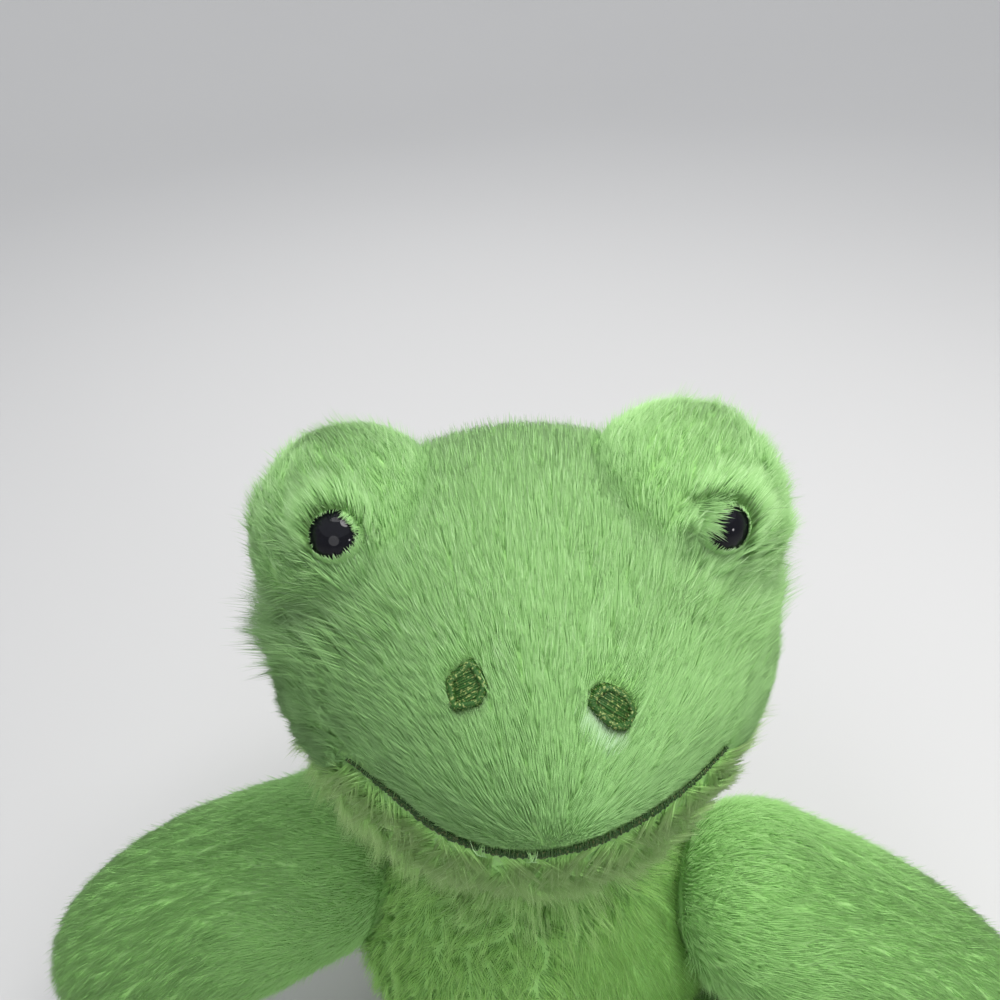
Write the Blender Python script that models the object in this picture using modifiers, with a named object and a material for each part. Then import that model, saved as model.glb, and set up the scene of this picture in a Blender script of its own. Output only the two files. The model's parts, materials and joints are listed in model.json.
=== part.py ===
"""A plush frog that sits with its arms spread, in metres, +Z up, facing -Y.

Every stuffed form is a plush skin, open where it is sewn to its neighbour, round its own stuffing.
The head, arms and legs meet the torso in round seams, each a ball in a dish, and turn about its centre.
The origin is the middle of the flat sitting face under the torso.
"""

import math

import bmesh
import bpy
from mathutils import Euler, Matrix, Vector

# Fabric and sewing
PLUSH = 0.0040
CLEARANCE = 0.0003
SITTING_CUT = 0.0005
OVERRUN = 0.0040
WELD_DISTANCE = 0.00001

# Torso
TORSO_WIDTH = 0.096
TORSO_DEPTH = 0.086
NECK_HEIGHT = 0.080
NECK_BACKWARD = 0.002
NECK_RADIUS = 0.0275
NECK_OPENING_RADIUS = 0.0090
BELLY_FORWARD = 0.0040
TORSO_WIDEST_SHARE = 0.56
TORSO_ROUNDNESS = 3.0

# Head
HEAD_WIDTH = 0.096
HEAD_DEPTH = 0.084
HEAD_HEIGHT = 0.087
HEAD_ABOVE_NECK = 0.0010
HEAD_AHEAD_OF_NECK = 0.0108
HEAD_TILT = math.radians(16)
SNOUT_REACH = 0.0040
SNOUT_DROP = 0.0020
SNOUT_SPREAD_SHARES = (0.60, 0.45)
JAW_TAPER_SHARE = 0.13
JAW_TOP_SHARE = 0.35
JAW_LOW_SHARE = -0.75

# Eye mounds, centred at these shares of the head's half width, depth and height
MOUND_PLACE_SHARES = (0.590, 0.156, 0.653)
MOUND_RADII = (0.0180, 0.0190, 0.0200)

# Eyes
EYE_RADIUS = 0.0046
EYE_DOME_HEIGHT = 0.0040
EYE_SINK = 0.0020
LEFT_EYE_RAISE = math.radians(26)
LEFT_EYE_OUTWARD = math.radians(1.5)
RIGHT_EYE_RAISE = math.radians(16.5)
RIGHT_EYE_OUTWARD = math.radians(11.5)
SHANK_RADIUS = 0.0018
SHANK_SPARE = 0.0015
WASHER_RADIUS = 0.0050
WASHER_THICKNESS = 0.0012

# Embroidery, places measured from the middle of the head
NOSTRIL_HALF_WIDTH = 0.0033
NOSTRIL_HALF_LENGTH = 0.0042
NOSTRIL_HALF_THICKNESS = 0.0011
NOSTRIL_LEAN_SHARE = 0.33
NOSTRIL_LEFT_SIDE = 0.0098
NOSTRIL_LEFT_HEIGHT = 0.0181
NOSTRIL_LEFT_TURN = math.radians(-12)
NOSTRIL_RIGHT_SIDE = 0.0109
NOSTRIL_RIGHT_HEIGHT = 0.0140
NOSTRIL_RIGHT_TURN = math.radians(28)
MOUTH_HALF_WIDTH = 0.0305
MOUTH_LOW = 0.0083
MOUTH_CORNER_RISE = 0.0089
MOUTH_LEAN = 0.0020
MOUTH_CURVE_POWER = 1.75
MOUTH_RADIUS = 0.0010
MOUTH_STEPS = 18

# Arms
ARM_RADIUS = 0.0205
ARM_SWELL = 0.0025
ARM_LENGTH = 0.0680
LEFT_ARM_FORWARD = math.radians(11)
LEFT_ARM_DROOP = math.radians(15)
RIGHT_ARM_FORWARD = math.radians(26)
RIGHT_ARM_DROOP = math.radians(22)
ARM_BEND = -0.0040
SHOULDER_HEIGHT = 0.0605
LEFT_SHOULDER_PLAN_ANGLE = math.radians(88)
RIGHT_SHOULDER_PLAN_ANGLE = math.radians(70)
ARM_OPENING_RADIUS = 0.0060

# Legs
LEG_RADIUS = 0.0200
LEG_SWELL = 0.0015
LEG_LENGTH = 0.0580
LEG_SPLAY = math.radians(14)
FOOT_HEIGHT_EXTRA = 0.0050
FOOT_WIDTH_EXTRA = 0.0010
HIP_PLAN_ANGLE = math.radians(38)
LEG_OPENING_RADIUS = 0.0060

# How far a limb's round seam end stands off the torso, as a share of its radius
SEAM_STAND_OFF_SHARE = 0.62
LIMB_ROUNDNESS = 3.6

# Pellet pouch in the seat
POUCH_RADIUS = 0.0170
POUCH_BACK = 0.0030
POUCH_RISE = 0.0014
POUCH_HALF_HEIGHT = 0.0100
POUCH_FABRIC = 0.0010
POUCH_MOUTH_RADIUS = 0.0035

# Faces round and along each kind of cage
HEAD_CAGE = (14, 9)
TORSO_CAGE = (14, 9)
LIMB_CAGE = (9, 8)
MOUND_CAGE = (10, 7)
BALL_CAGE = (18, 11)
ROUND_SIDES = 20
FITTING_ROUNDS = 6

SIDES = {"left": -1, "right": 1}

FUR_GREEN = (0.30, 0.60, 0.19)
BELLY_GREEN = (0.29, 0.56, 0.16)
STITCH_GREEN = (0.045, 0.12, 0.025)
FILL_WHITE = (0.85, 0.85, 0.83)
POUCH_WHITE = (0.70, 0.70, 0.66)
PELLET_GREY = (0.45, 0.46, 0.45)
EYE_BLACK = (0.004, 0.004, 0.005)
WASHER_WHITE = (0.80, 0.80, 0.78)


def clear_scene():
    """Removes every object the file holds."""
    for item in list(bpy.data.objects):
        bpy.data.objects.remove(item, do_unlink=True)


def new_collection(name):
    """A collection in the scene that holds the objects of one kind."""
    made = bpy.data.collections.new(name)
    bpy.context.scene.collection.children.link(made)
    return made


def finish(name, colour, roughness):
    """A plain material of one colour."""
    made = bpy.data.materials.new(name)
    made.use_nodes = True
    shader = made.node_tree.nodes["Principled BSDF"]
    shader.inputs["Base Color"].default_value = (*colour, 1.0)
    shader.inputs["Roughness"].default_value = roughness
    shader.inputs["Metallic"].default_value = 0.0
    return made


class Workbench:
    """The two collections, and the short ways of putting a mesh into one of them."""

    def __init__(self):
        self.parts = new_collection("plush_frog")
        self.cutters = new_collection("cutters")

    def add_part(self, name, mesh, colour, roughness, parent=None):
        """A piece of the frog, smooth, with a material of its own."""
        made = bpy.data.objects.new(name, mesh)
        self.parts.objects.link(made)
        made.parent = parent
        mesh.materials.append(finish(name, colour, roughness))
        mesh.shade_smooth()
        return made

    def add_cutter(self, name, mesh, parent=None):
        """A shape that only cuts others."""
        made = bpy.data.objects.new(name, mesh)
        self.cutters.objects.link(made)
        made.parent = parent
        made.hide_render = True
        made.display_type = "WIRE"
        return made

    def add_joint(self, name, place, turn, parent=None):
        """An empty on a joint's centre, which carries what turns there."""
        made = bpy.data.objects.new(name, None)
        self.parts.objects.link(made)
        made.parent = parent
        made.location = place
        made.rotation_euler = turn
        return made


def smooth(target):
    """Rounds a coarse cage."""
    rounding = target.modifiers.new("rounding", "SUBSURF")
    rounding.levels = 1
    rounding.render_levels = 1


def cut(target, *cutters):
    """Takes each cutter away from the target."""
    for cutter in cutters:
        step = target.modifiers.new("cut_" + cutter.name, "BOOLEAN")
        step.operation = "DIFFERENCE"
        step.solver = "EXACT"
        step.object = cutter


def sphere_mesh(name, cage, place):
    """A closed ball of cage[0] by cage[1] faces, each corner moved to place(its unit direction)."""
    shape = bmesh.new()
    bmesh.ops.create_uvsphere(shape, u_segments=cage[0], v_segments=cage[1], radius=1.0)
    for corner in shape.verts:
        corner.co = place(corner.co.copy())
    mesh = bpy.data.meshes.new(name)
    shape.to_mesh(mesh)
    shape.free()
    return mesh


def ball_mesh(name, radius):
    """A faceted ball whose faces, and not only its corners, stay outside the radius."""
    flats = math.cos(math.pi / BALL_CAGE[0]) * math.cos(math.pi / BALL_CAGE[1] / 2)
    return sphere_mesh(name, BALL_CAGE, lambda unit: unit * (radius / flats))


def rod_mesh(name, radius, low, high):
    """A cylinder along Z from low to high, turned by half a side off the corners that it cuts."""
    shape = bmesh.new()
    bmesh.ops.create_cone(
        shape, cap_ends=True, segments=ROUND_SIDES, radius1=radius, radius2=radius, depth=high - low
    )
    half_side = Matrix.Rotation(math.pi / ROUND_SIDES, 3, "Z")
    bmesh.ops.rotate(shape, verts=shape.verts, matrix=half_side)
    bmesh.ops.translate(shape, verts=shape.verts, vec=(0, 0, (low + high) / 2))
    mesh = bpy.data.meshes.new(name)
    shape.to_mesh(mesh)
    shape.free()
    return mesh


def floor_mesh():
    """A slab whose top is the surface that the frog sits on, wider than the frog."""
    half = TORSO_DEPTH + LEG_LENGTH + LEG_RADIUS + ARM_LENGTH
    shape = bmesh.new()
    bmesh.ops.create_cube(shape, size=2 * half)
    bmesh.ops.translate(shape, verts=shape.verts, vec=(0, 0, -half))
    mesh = bpy.data.meshes.new("floor")
    shape.to_mesh(mesh)
    shape.free()
    return mesh


def turned_mesh(bench, name, profile, closed):
    """A profile of (radius, height) points turned about Z, as a mesh that can be cut."""
    mesh = bpy.data.meshes.new(name + "_profile")
    count = len(profile)
    edges = [(i, i + 1) for i in range(count - 1)]
    if closed:
        edges.append((count - 1, 0))
    mesh.from_pydata([(radius, 0, height) for radius, height in profile], edges, [])
    guide = bench.add_cutter(name + "_profile", mesh)
    turning = guide.modifiers.new("turning", "SCREW")
    turning.axis = "Z"
    turning.steps = ROUND_SIDES
    turning.render_steps = ROUND_SIDES
    turning.use_merge_vertices = True
    turning.merge_threshold = WELD_DISTANCE
    turned = evaluated_mesh(guide)
    bpy.data.objects.remove(guide, do_unlink=True)
    return turned


def evaluated_mesh(item):
    """The item's mesh with its modifiers applied."""
    graph = bpy.context.evaluated_depsgraph_get()
    return bpy.data.meshes.new_from_object(item.evaluated_get(graph), depsgraph=graph)


def torso_centre(along):
    """The middle of the torso's section, at a share of the way down from the neck to the seat."""
    belly = BELLY_FORWARD * math.sin(math.pi * along)
    return Vector((0, NECK_BACKWARD * (1 - along) - belly, NECK_HEIGHT - torso_length() * along))


def torso_length():
    """From the neck's centre to the lowest point of the uncut torso."""
    return NECK_HEIGHT + SITTING_CUT


def torso_section(along, inset):
    """Half the width and half the depth of the torso's section at a share of the way down."""
    growth = math.sin(math.pi / 2 * min(1.0, along / TORSO_WIDEST_SHARE))
    rounding = (1 - along**TORSO_ROUNDNESS) ** (1 / TORSO_ROUNDNESS)
    wide = NECK_RADIUS + (TORSO_WIDTH / 2 - NECK_RADIUS) * growth - inset
    deep = NECK_RADIUS + (TORSO_DEPTH / 2 - NECK_RADIUS) * growth - inset
    return wide * rounding, deep * rounding


def torso_point(unit, inset):
    """A ball about the neck's centre above, and a pear shape that swells down to the seat below."""
    if unit.z >= 0:
        return torso_centre(0) + unit * (NECK_RADIUS - inset)
    along = -unit.z
    wide, deep = torso_section(along, inset)
    level = Vector((unit.x, unit.y, 0)).normalized() if along < 1 else Vector()
    return torso_centre(along) + Vector((level.x * wide, level.y * deep, inset * along))


def seam_centre(height, plan_angle, radius, side):
    """Where a limb's round seam end is centred: just off the torso, at an angle from straight ahead."""
    along = (NECK_HEIGHT - height) / torso_length()
    wide, deep = torso_section(along, 0)
    out = Vector((side * math.sin(plan_angle), -math.cos(plan_angle), 0))
    reach = 1 / math.hypot(out.x / wide, out.y / deep)
    middle = torso_centre(along)
    middle.z = height
    return middle + out * (reach + SEAM_STAND_OFF_SHARE * radius)


def limb_point(unit, radius, length, swell, end_wider, end_taller, bend, inset):
    """Half a ball about the seam's centre, then a limb along Z that swells and rounds off."""
    if unit.z <= 0:
        return unit * (radius - inset)
    along = unit.z
    rounding = max(0.0, 1 - along**LIMB_ROUNDNESS) ** (1 / LIMB_ROUNDNESS)
    girth = radius - inset + swell * math.sin(math.pi * along)
    wide = (girth + end_wider * along**2) * rounding
    tall = (girth + end_taller * along**2) * rounding
    level = Vector((unit.x, unit.y, 0)).normalized() if along < 1 else Vector()
    lift = (bend + end_taller) * along**2
    return Vector((level.x * wide, level.y * tall + lift, (length - inset) * along))


def arm_point(unit, inset):
    """An arm, sewn on at its thinner end."""
    return limb_point(unit, ARM_RADIUS, ARM_LENGTH, ARM_SWELL, 0, 0, ARM_BEND, inset)


def leg_point(unit, inset):
    """A leg whose foot stands taller than its thigh."""
    return limb_point(
        unit, LEG_RADIUS, LEG_LENGTH, LEG_SWELL, FOOT_WIDTH_EXTRA, FOOT_HEIGHT_EXTRA, 0, inset
    )


def head_centre():
    """The middle of the head, in the neck's own frame."""
    return Vector((0, -HEAD_AHEAD_OF_NECK, HEAD_HEIGHT / 2 + HEAD_ABOVE_NECK))


def jaw_share(height_share):
    """How much of its width the head keeps at a share of its half height: less towards the jaw."""
    down = (JAW_TOP_SHARE - height_share) / (JAW_TOP_SHARE - JAW_LOW_SHARE)
    down = min(1.0, max(0.0, down))
    return 1 - JAW_TAPER_SHARE * down * down * (3 - 2 * down)


def head_point(unit, inset):
    """A broad egg, narrower at the jaw, whose front is pushed out into a snout."""
    half = Vector((HEAD_WIDTH / 2, HEAD_DEPTH / 2, HEAD_HEIGHT / 2)) - Vector((inset,) * 3)
    spread_x, spread_z = SNOUT_SPREAD_SHARES
    drop = unit.z + SNOUT_DROP / (HEAD_HEIGHT / 2)
    snout = SNOUT_REACH * math.exp(-((unit.x / spread_x) ** 2) - (drop / spread_z) ** 2)
    forward = max(0.0, -unit.y) * snout
    wide = unit.x * half.x * jaw_share(unit.z)
    return head_centre() + Vector((wide, unit.y * half.y - forward, unit.z * half.z))


def mound_centre(side):
    """The middle of an eye mound, in the neck's own frame."""
    aside, ahead, up = MOUND_PLACE_SHARES
    place = Vector((side * aside * HEAD_WIDTH, -ahead * HEAD_DEPTH, up * HEAD_HEIGHT)) / 2
    return head_centre() + place


def mound_point(unit, side, inset):
    """An upright egg."""
    half = Vector(MOUND_RADII) - Vector((inset,) * 3)
    return mound_centre(side) + Vector((unit.x * half.x, unit.y * half.y, unit.z * half.z))


def inner_mesh(name, cage, point, inset):
    """A form's plain cage, moved in by the inset, its faces split alike at every inset."""
    mesh = sphere_mesh(name, cage, lambda unit: point(unit, inset))
    shape = bmesh.new()
    shape.from_mesh(mesh)
    bmesh.ops.triangulate(shape, faces=shape.faces, quad_method="FIXED")
    shape.to_mesh(mesh)
    shape.free()
    return mesh


def outer_mesh(bench, name, cage, point, inset=0.0):
    """A form's cage, its corners pushed out until the rounded surface passes where they began."""
    mesh = sphere_mesh(name, cage, lambda unit: point(unit, inset))
    wanted = [corner.co.copy() for corner in mesh.vertices]
    guide = bench.add_cutter(name + "_guide", mesh)
    smooth(guide)
    for _ in range(FITTING_ROUNDS):
        rounded = evaluated_mesh(guide)
        for corner, even, goal in zip(mesh.vertices, rounded.vertices, wanted, strict=False):
            corner.co += goal - even.co
        mesh.update()
        bpy.data.meshes.remove(rounded)
    bpy.data.objects.remove(guide, do_unlink=True)
    return mesh


def stuffed_form(bench, name, cage, point, seams, parent, colour, opening, extra_cuts=()):
    """A plush skin and its stuffing.

    seams are (name, centre, radius) balls that dish the form in. The skin is the form less the space
    inside it, which keeps the plush's thickness to each dish. opening is the hole it was stuffed by.
    """
    skin_mesh = outer_mesh(bench, name, cage, point)
    skin = bench.add_part(name + "_skin", skin_mesh, colour, 0.95, parent)
    smooth(skin)
    space = bench.add_cutter(name + "_space", inner_mesh(name, cage, point, PLUSH), parent)
    fill_mesh = inner_mesh(name, cage, point, PLUSH + CLEARANCE)
    fill = bench.add_part(name + "_stuffing", fill_mesh, FILL_WHITE, 0.9, parent)
    for seam_name, centre, radius in seams:
        shares = ((skin, 0.0), (space, PLUSH), (fill, PLUSH + CLEARANCE))
        for target, wall in shares:
            label = target.name + "_" + seam_name
            dish = bench.add_cutter(label, ball_mesh(label, radius + CLEARANCE + wall), parent)
            dish.location = centre
            cut(target, dish)
    cut(skin, *extra_cuts, space, opening)
    return skin, fill


def add_torso(bench, floor, limb_seats):
    """The torso, dished at the shoulders and hips, with its opening up at the neck."""
    low = NECK_RADIUS - PLUSH - OVERRUN
    high = NECK_RADIUS + OVERRUN
    opening = bench.add_cutter("torso_opening", rod_mesh("torso_opening", NECK_OPENING_RADIUS, low, high))
    opening.location = torso_centre(0)
    _, fill = stuffed_form(
        bench, "torso", TORSO_CAGE, torso_point, limb_seats, None, BELLY_GREEN, opening, (floor,)
    )
    add_pouch(bench, fill)


def pouch_centre():
    """The middle of the pellet pouch, which lies on the seat's plush."""
    height = PLUSH - SITTING_CUT + CLEARANCE + POUCH_RISE + POUCH_HALF_HEIGHT
    return Vector((0, POUCH_BACK, height))


def pouch_mesh(name, inset):
    """A flattened ball."""
    wide = POUCH_RADIUS - inset
    tall = POUCH_HALF_HEIGHT - inset
    return sphere_mesh(
        name,
        MOUND_CAGE,
        lambda unit: pouch_centre() + Vector((unit.x * wide, unit.y * wide, unit.z * tall)),
    )


def add_pouch(bench, stuffing):
    """The bag of pellets in the seat, its gathered mouth up, in a pocket of the stuffing."""
    middle = pouch_centre()
    pouch = bench.add_part("pellet_pouch", pouch_mesh("pellet_pouch", 0), POUCH_WHITE, 0.85)
    space = bench.add_cutter("pouch_space", pouch_mesh("pouch_space", POUCH_FABRIC))
    mouth = bench.add_cutter(
        "pouch_mouth", rod_mesh("pouch_mouth", POUCH_MOUTH_RADIUS, 0, POUCH_HALF_HEIGHT + OVERRUN)
    )
    mouth.location = middle
    cut(pouch, space, mouth)
    fill_mesh = pouch_mesh("pellet_fill", POUCH_FABRIC + CLEARANCE)
    bench.add_part("pellet_fill", fill_mesh, PELLET_GREY, 0.6)
    pocket = bench.add_cutter("pouch_pocket", pouch_mesh("pouch_pocket", -CLEARANCE))
    way_in = bench.add_cutter(
        "pouch_way_in", rod_mesh("pouch_way_in", POUCH_RADIUS / 2, -middle.z, 0)
    )
    way_in.location = middle
    cut(stuffing, pocket, way_in)


def add_limb(bench, name, point, joint, floor, opening_radius, radius):
    """An arm or a leg in its joint's frame, open at its seam end."""
    label = name + "_opening"
    low = -radius - OVERRUN
    high = -radius + PLUSH + OVERRUN
    opening = bench.add_cutter(label, rod_mesh(label, opening_radius, low, high), joint)
    cuts = (floor,) if floor else ()
    return stuffed_form(bench, name, LIMB_CAGE, point, [], joint, FUR_GREEN, opening, cuts)


def pointing(direction, up):
    """The turn that brings Z to the direction, with Y as near as it can be to up."""
    forward = direction.normalized()
    across = up.cross(forward).normalized()
    return Matrix((across, forward.cross(across), forward)).transposed()


def arm_direction(side):
    """The way that an arm points from its shoulder: the right one hangs lower."""
    forward = RIGHT_ARM_FORWARD if side > 0 else LEFT_ARM_FORWARD
    droop = RIGHT_ARM_DROOP if side > 0 else LEFT_ARM_DROOP
    flat = math.cos(droop)
    out = side * math.cos(forward) * flat
    return Vector((out, -math.sin(forward) * flat, -math.sin(droop)))


def leg_direction(side):
    """The way that a leg points from its hip."""
    return Vector((side * math.sin(LEG_SPLAY), -math.cos(LEG_SPLAY), 0))


def shoulder_centre(side):
    """The centre of an arm's seam: the right one lies farther forward."""
    angle = RIGHT_SHOULDER_PLAN_ANGLE if side > 0 else LEFT_SHOULDER_PLAN_ANGLE
    return seam_centre(SHOULDER_HEIGHT, angle, ARM_RADIUS, side)


def hip_centre(side):
    """The centre of a leg's seam, low enough for the leg to lie on the floor."""
    return seam_centre(LEG_RADIUS - SITTING_CUT, HIP_PLAN_ANGLE, LEG_RADIUS, side)


def add_limbs(bench, floor):
    """Both arms and both legs."""
    up = Vector((0, 0, 1))
    for word, side in SIDES.items():
        turn = pointing(arm_direction(side), up).to_euler()
        shoulder = bench.add_joint("shoulder_" + word, shoulder_centre(side), turn)
        add_limb(bench, "arm_" + word, arm_point, shoulder, None, ARM_OPENING_RADIUS, ARM_RADIUS)
        turn = pointing(leg_direction(side), up).to_euler()
        hip = bench.add_joint("hip_" + word, hip_centre(side), turn)
        add_limb(bench, "leg_" + word, leg_point, hip, floor, LEG_OPENING_RADIUS, LEG_RADIUS)


def eye_direction(side):
    """The way that an eye looks, in the head's frame."""
    lift = RIGHT_EYE_RAISE if side > 0 else LEFT_EYE_RAISE
    outward = RIGHT_EYE_OUTWARD if side > 0 else LEFT_EYE_OUTWARD
    flat = math.cos(lift)
    return Vector((side * math.sin(outward) * flat, -math.cos(outward) * flat, math.sin(lift)))


def eye_profile():
    """A dome with a shank behind it: the arc's points, then the flat back and the shank."""
    steps = 6
    dome = [
        (EYE_RADIUS * math.sin(turn), EYE_DOME_HEIGHT * math.cos(turn))
        for turn in [math.pi / 2 * i / steps for i in range(steps + 1)]
    ]
    length = shank_length()
    return dome + [(SHANK_RADIUS, 0), (SHANK_RADIUS, -length), (0, -length)]


def shank_length():
    """Through the plush and the washer, and a little more."""
    return PLUSH - EYE_SINK + CLEARANCE + WASHER_THICKNESS + SHANK_SPARE


def add_mound(bench, neck, word, side, head_form, head_skin):
    """A stuffed eye mound on the head, with its eye and the washer that holds it."""
    name = "eye_mound_" + word

    def point(unit, inset):
        return mound_point(unit, side, inset)

    skin_mesh = outer_mesh(bench, name, MOUND_CAGE, point)
    skin = bench.add_part(name + "_skin", skin_mesh, FUR_GREEN, 0.95, neck)
    smooth(skin)
    space = bench.add_cutter(name + "_space", inner_mesh(name, MOUND_CAGE, point, PLUSH), neck)
    fill_mesh = inner_mesh(name, MOUND_CAGE, point, PLUSH + CLEARANCE)
    fill = bench.add_part(name + "_stuffing", fill_mesh, FILL_WHITE, 0.9, neck)
    cut(skin, head_form, space)
    cut(fill, head_form)
    add_eye(bench, neck, word, side, skin, (fill, head_skin))


def add_eye(bench, neck, word, side, skin, behind):
    """The eye sits in a pocket of the pile, and its washer lies against the plush inside.

    behind are the pieces that keep clear of the washer.
    """
    look = eye_direction(side)
    surface = mound_point(look, side, 0)
    seat = bench.add_joint("eye_seat_" + word, surface - look * EYE_SINK, Euler(), neck)
    seat.rotation_euler = pointing(look, Vector((0, 0, 1))).to_euler()
    mesh = turned_mesh(bench, "eye_" + word, eye_profile(), False)
    bench.add_part("eye_" + word, mesh, EYE_BLACK, 0.08, seat)
    top = -(PLUSH - EYE_SINK + CLEARANCE)
    bottom = top - WASHER_THICKNESS
    bore = SHANK_RADIUS + CLEARANCE
    ring = [(WASHER_RADIUS, top), (WASHER_RADIUS, bottom), (bore, bottom), (bore, top)]
    washer = turned_mesh(bench, "eye_washer_" + word, ring, True)
    bench.add_part("eye_washer_" + word, washer, WASHER_WHITE, 0.4, seat)
    pocket_radius = EYE_RADIUS + CLEARANCE
    pocket = rod_mesh("eye_pocket_" + word, pocket_radius, -CLEARANCE, EYE_SINK + OVERRUN)
    hole = rod_mesh("eye_hole_" + word, bore, -PLUSH - OVERRUN, OVERRUN / 2)
    low = -shank_length() - CLEARANCE
    room = rod_mesh("eye_room_" + word, WASHER_RADIUS + CLEARANCE, low, top + CLEARANCE)
    pocket = bench.add_cutter(pocket.name, pocket, seat)
    hole = bench.add_cutter(hole.name, hole, seat)
    room = bench.add_cutter(room.name, room, seat)
    cut(skin, pocket, hole, room)
    for target in behind:
        cut(target, room)


def surface_hit(head_form, side, height):
    """The place and outward direction of the face, straight ahead of a place beside its middle."""
    graph = bpy.context.evaluated_depsgraph_get()
    start = head_centre() + Vector((side, -HEAD_DEPTH, height))
    found, place, outward, _ = head_form.evaluated_get(graph).ray_cast(start, Vector((0, 1, 0)))
    if not found:
        raise ValueError("the face has no surface there")
    return place, outward


def add_nostril(bench, neck, word, places, head_form, head_skin):
    """A padded satin patch, leaf-shaped, half sunk in the plush."""
    side, height, turn = places
    place, outward = surface_hit(head_form, side, height)
    facing = pointing(outward, Vector((0, 0, 1))) @ Matrix.Rotation(turn, 3, "Z")
    seat = bench.add_joint("nostril_seat_" + word, place, facing.to_euler(), neck)

    def patch(grow):
        def place_corner(unit):
            lean = 1 + unit.y * unit.x * NOSTRIL_LEAN_SHARE
            return Vector(
                (
                    unit.x * (NOSTRIL_HALF_WIDTH + grow) * lean,
                    unit.y * (NOSTRIL_HALF_LENGTH + grow),
                    unit.z * (NOSTRIL_HALF_THICKNESS + grow),
                )
            )

        return place_corner

    name = "nostril_" + word
    mesh = sphere_mesh(name, MOUND_CAGE, patch(0))
    bench.add_part(name, mesh, STITCH_GREEN, 0.6, seat)
    pocket = sphere_mesh(name + "_pocket", MOUND_CAGE, patch(CLEARANCE))
    cut(head_skin, bench.add_cutter(pocket.name, pocket, seat))


def mouth_path(head_form):
    """Points along the smile, each on the face: a power curve's sag between corners, the left one higher."""
    points = []
    for step in range(MOUTH_STEPS + 1):
        share = 2 * step / MOUTH_STEPS - 1
        sag = MOUTH_CORNER_RISE * abs(share) ** MOUTH_CURVE_POWER - MOUTH_LOW
        height = sag - MOUTH_LEAN * share
        place, _ = surface_hit(head_form, share * MOUTH_HALF_WIDTH, height)
        points.append(place)
    return points


def tube_mesh(bench, name, points, radius, overrun):
    """A round cord along the points as a closed mesh, its ends drawn out by the overrun."""
    curve = bpy.data.curves.new(name, "CURVE")
    curve.dimensions = "3D"
    curve.bevel_depth = radius
    curve.bevel_resolution = 1
    curve.use_fill_caps = True
    curve.render_resolution_u = 0
    line = curve.splines.new("POLY")
    first = points[0] + (points[0] - points[1]).normalized() * overrun
    last = points[-1] + (points[-1] - points[-2]).normalized() * overrun
    route = [first, *points[1:-1], last]
    line.points.add(len(route) - 1)
    for knot, place in zip(line.points, route, strict=True):
        knot.co = (*place, 1.0)
    guide = bench.add_cutter(name + "_guide", curve)
    mesh = evaluated_mesh(guide)
    bpy.data.objects.remove(guide, do_unlink=True)
    welded = bmesh.new()
    welded.from_mesh(mesh)
    bmesh.ops.remove_doubles(welded, verts=welded.verts, dist=WELD_DISTANCE)
    welded.to_mesh(mesh)
    welded.free()
    return mesh


def add_mouth(bench, neck, head_form, head_skin):
    """The embroidered smile, half sunk in a groove of the plush."""
    points = mouth_path(head_form)
    mesh = tube_mesh(bench, "mouth_stitching", points, MOUTH_RADIUS, 0)
    bench.add_part("mouth_stitching", mesh, STITCH_GREEN, 0.6, neck)
    groove = tube_mesh(bench, "mouth_groove", points, MOUTH_RADIUS + CLEARANCE, CLEARANCE)
    cut(head_skin, bench.add_cutter("mouth_groove", groove, neck))


def add_head(bench):
    """The head with its mounds, eyes, nostrils and mouth, on the neck's joint."""
    neck = bench.add_joint("neck", torso_centre(0), Euler((-HEAD_TILT, 0, 0)))
    low = NECK_RADIUS - OVERRUN
    high = NECK_RADIUS + CLEARANCE + PLUSH + OVERRUN
    opening = bench.add_cutter(
        "head_opening", rod_mesh("head_opening", NECK_OPENING_RADIUS, low, high), neck
    )
    head_form = bench.add_cutter(
        "head_form", outer_mesh(bench, "head_form", HEAD_CAGE, head_point, -CLEARANCE), neck
    )
    smooth(head_form)
    seams = [("neck_dish", Vector(), NECK_RADIUS)]
    skin, _ = stuffed_form(bench, "head", HEAD_CAGE, head_point, seams, neck, FUR_GREEN, opening)
    bpy.context.view_layer.update()
    for word, side in SIDES.items():
        add_mound(bench, neck, word, side, head_form, skin)
    left = (-NOSTRIL_LEFT_SIDE, NOSTRIL_LEFT_HEIGHT, NOSTRIL_LEFT_TURN)
    right = (NOSTRIL_RIGHT_SIDE, NOSTRIL_RIGHT_HEIGHT, NOSTRIL_RIGHT_TURN)
    add_nostril(bench, neck, "left", left, head_form, skin)
    add_nostril(bench, neck, "right", right, head_form, skin)
    add_mouth(bench, neck, head_form, skin)


def main():
    """Builds the whole frog."""
    clear_scene()
    bench = Workbench()
    floor = bench.add_cutter("floor", floor_mesh())
    seats = []
    for word, side in SIDES.items():
        seats.append(("shoulder_dish_" + word, shoulder_centre(side), ARM_RADIUS))
        seats.append(("hip_dish_" + word, hip_centre(side), LEG_RADIUS))
    add_torso(bench, floor, seats)
    add_limbs(bench, floor)
    add_head(bench)


main()
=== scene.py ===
"""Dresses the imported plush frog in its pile, eyes and embroidery, and sets it on a pale floor.

Lengths are in metres. Every stuffed form is a closed surface over a grid of directions, and its pile is
thousands of thin tapered strands of three sides that grow out of that surface.
"""

import itertools
import json
import math

import bmesh
import bpy
import numpy as np
from bpy.props import FloatProperty, FloatVectorProperty, IntProperty, PointerProperty
from mathutils import Matrix


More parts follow.
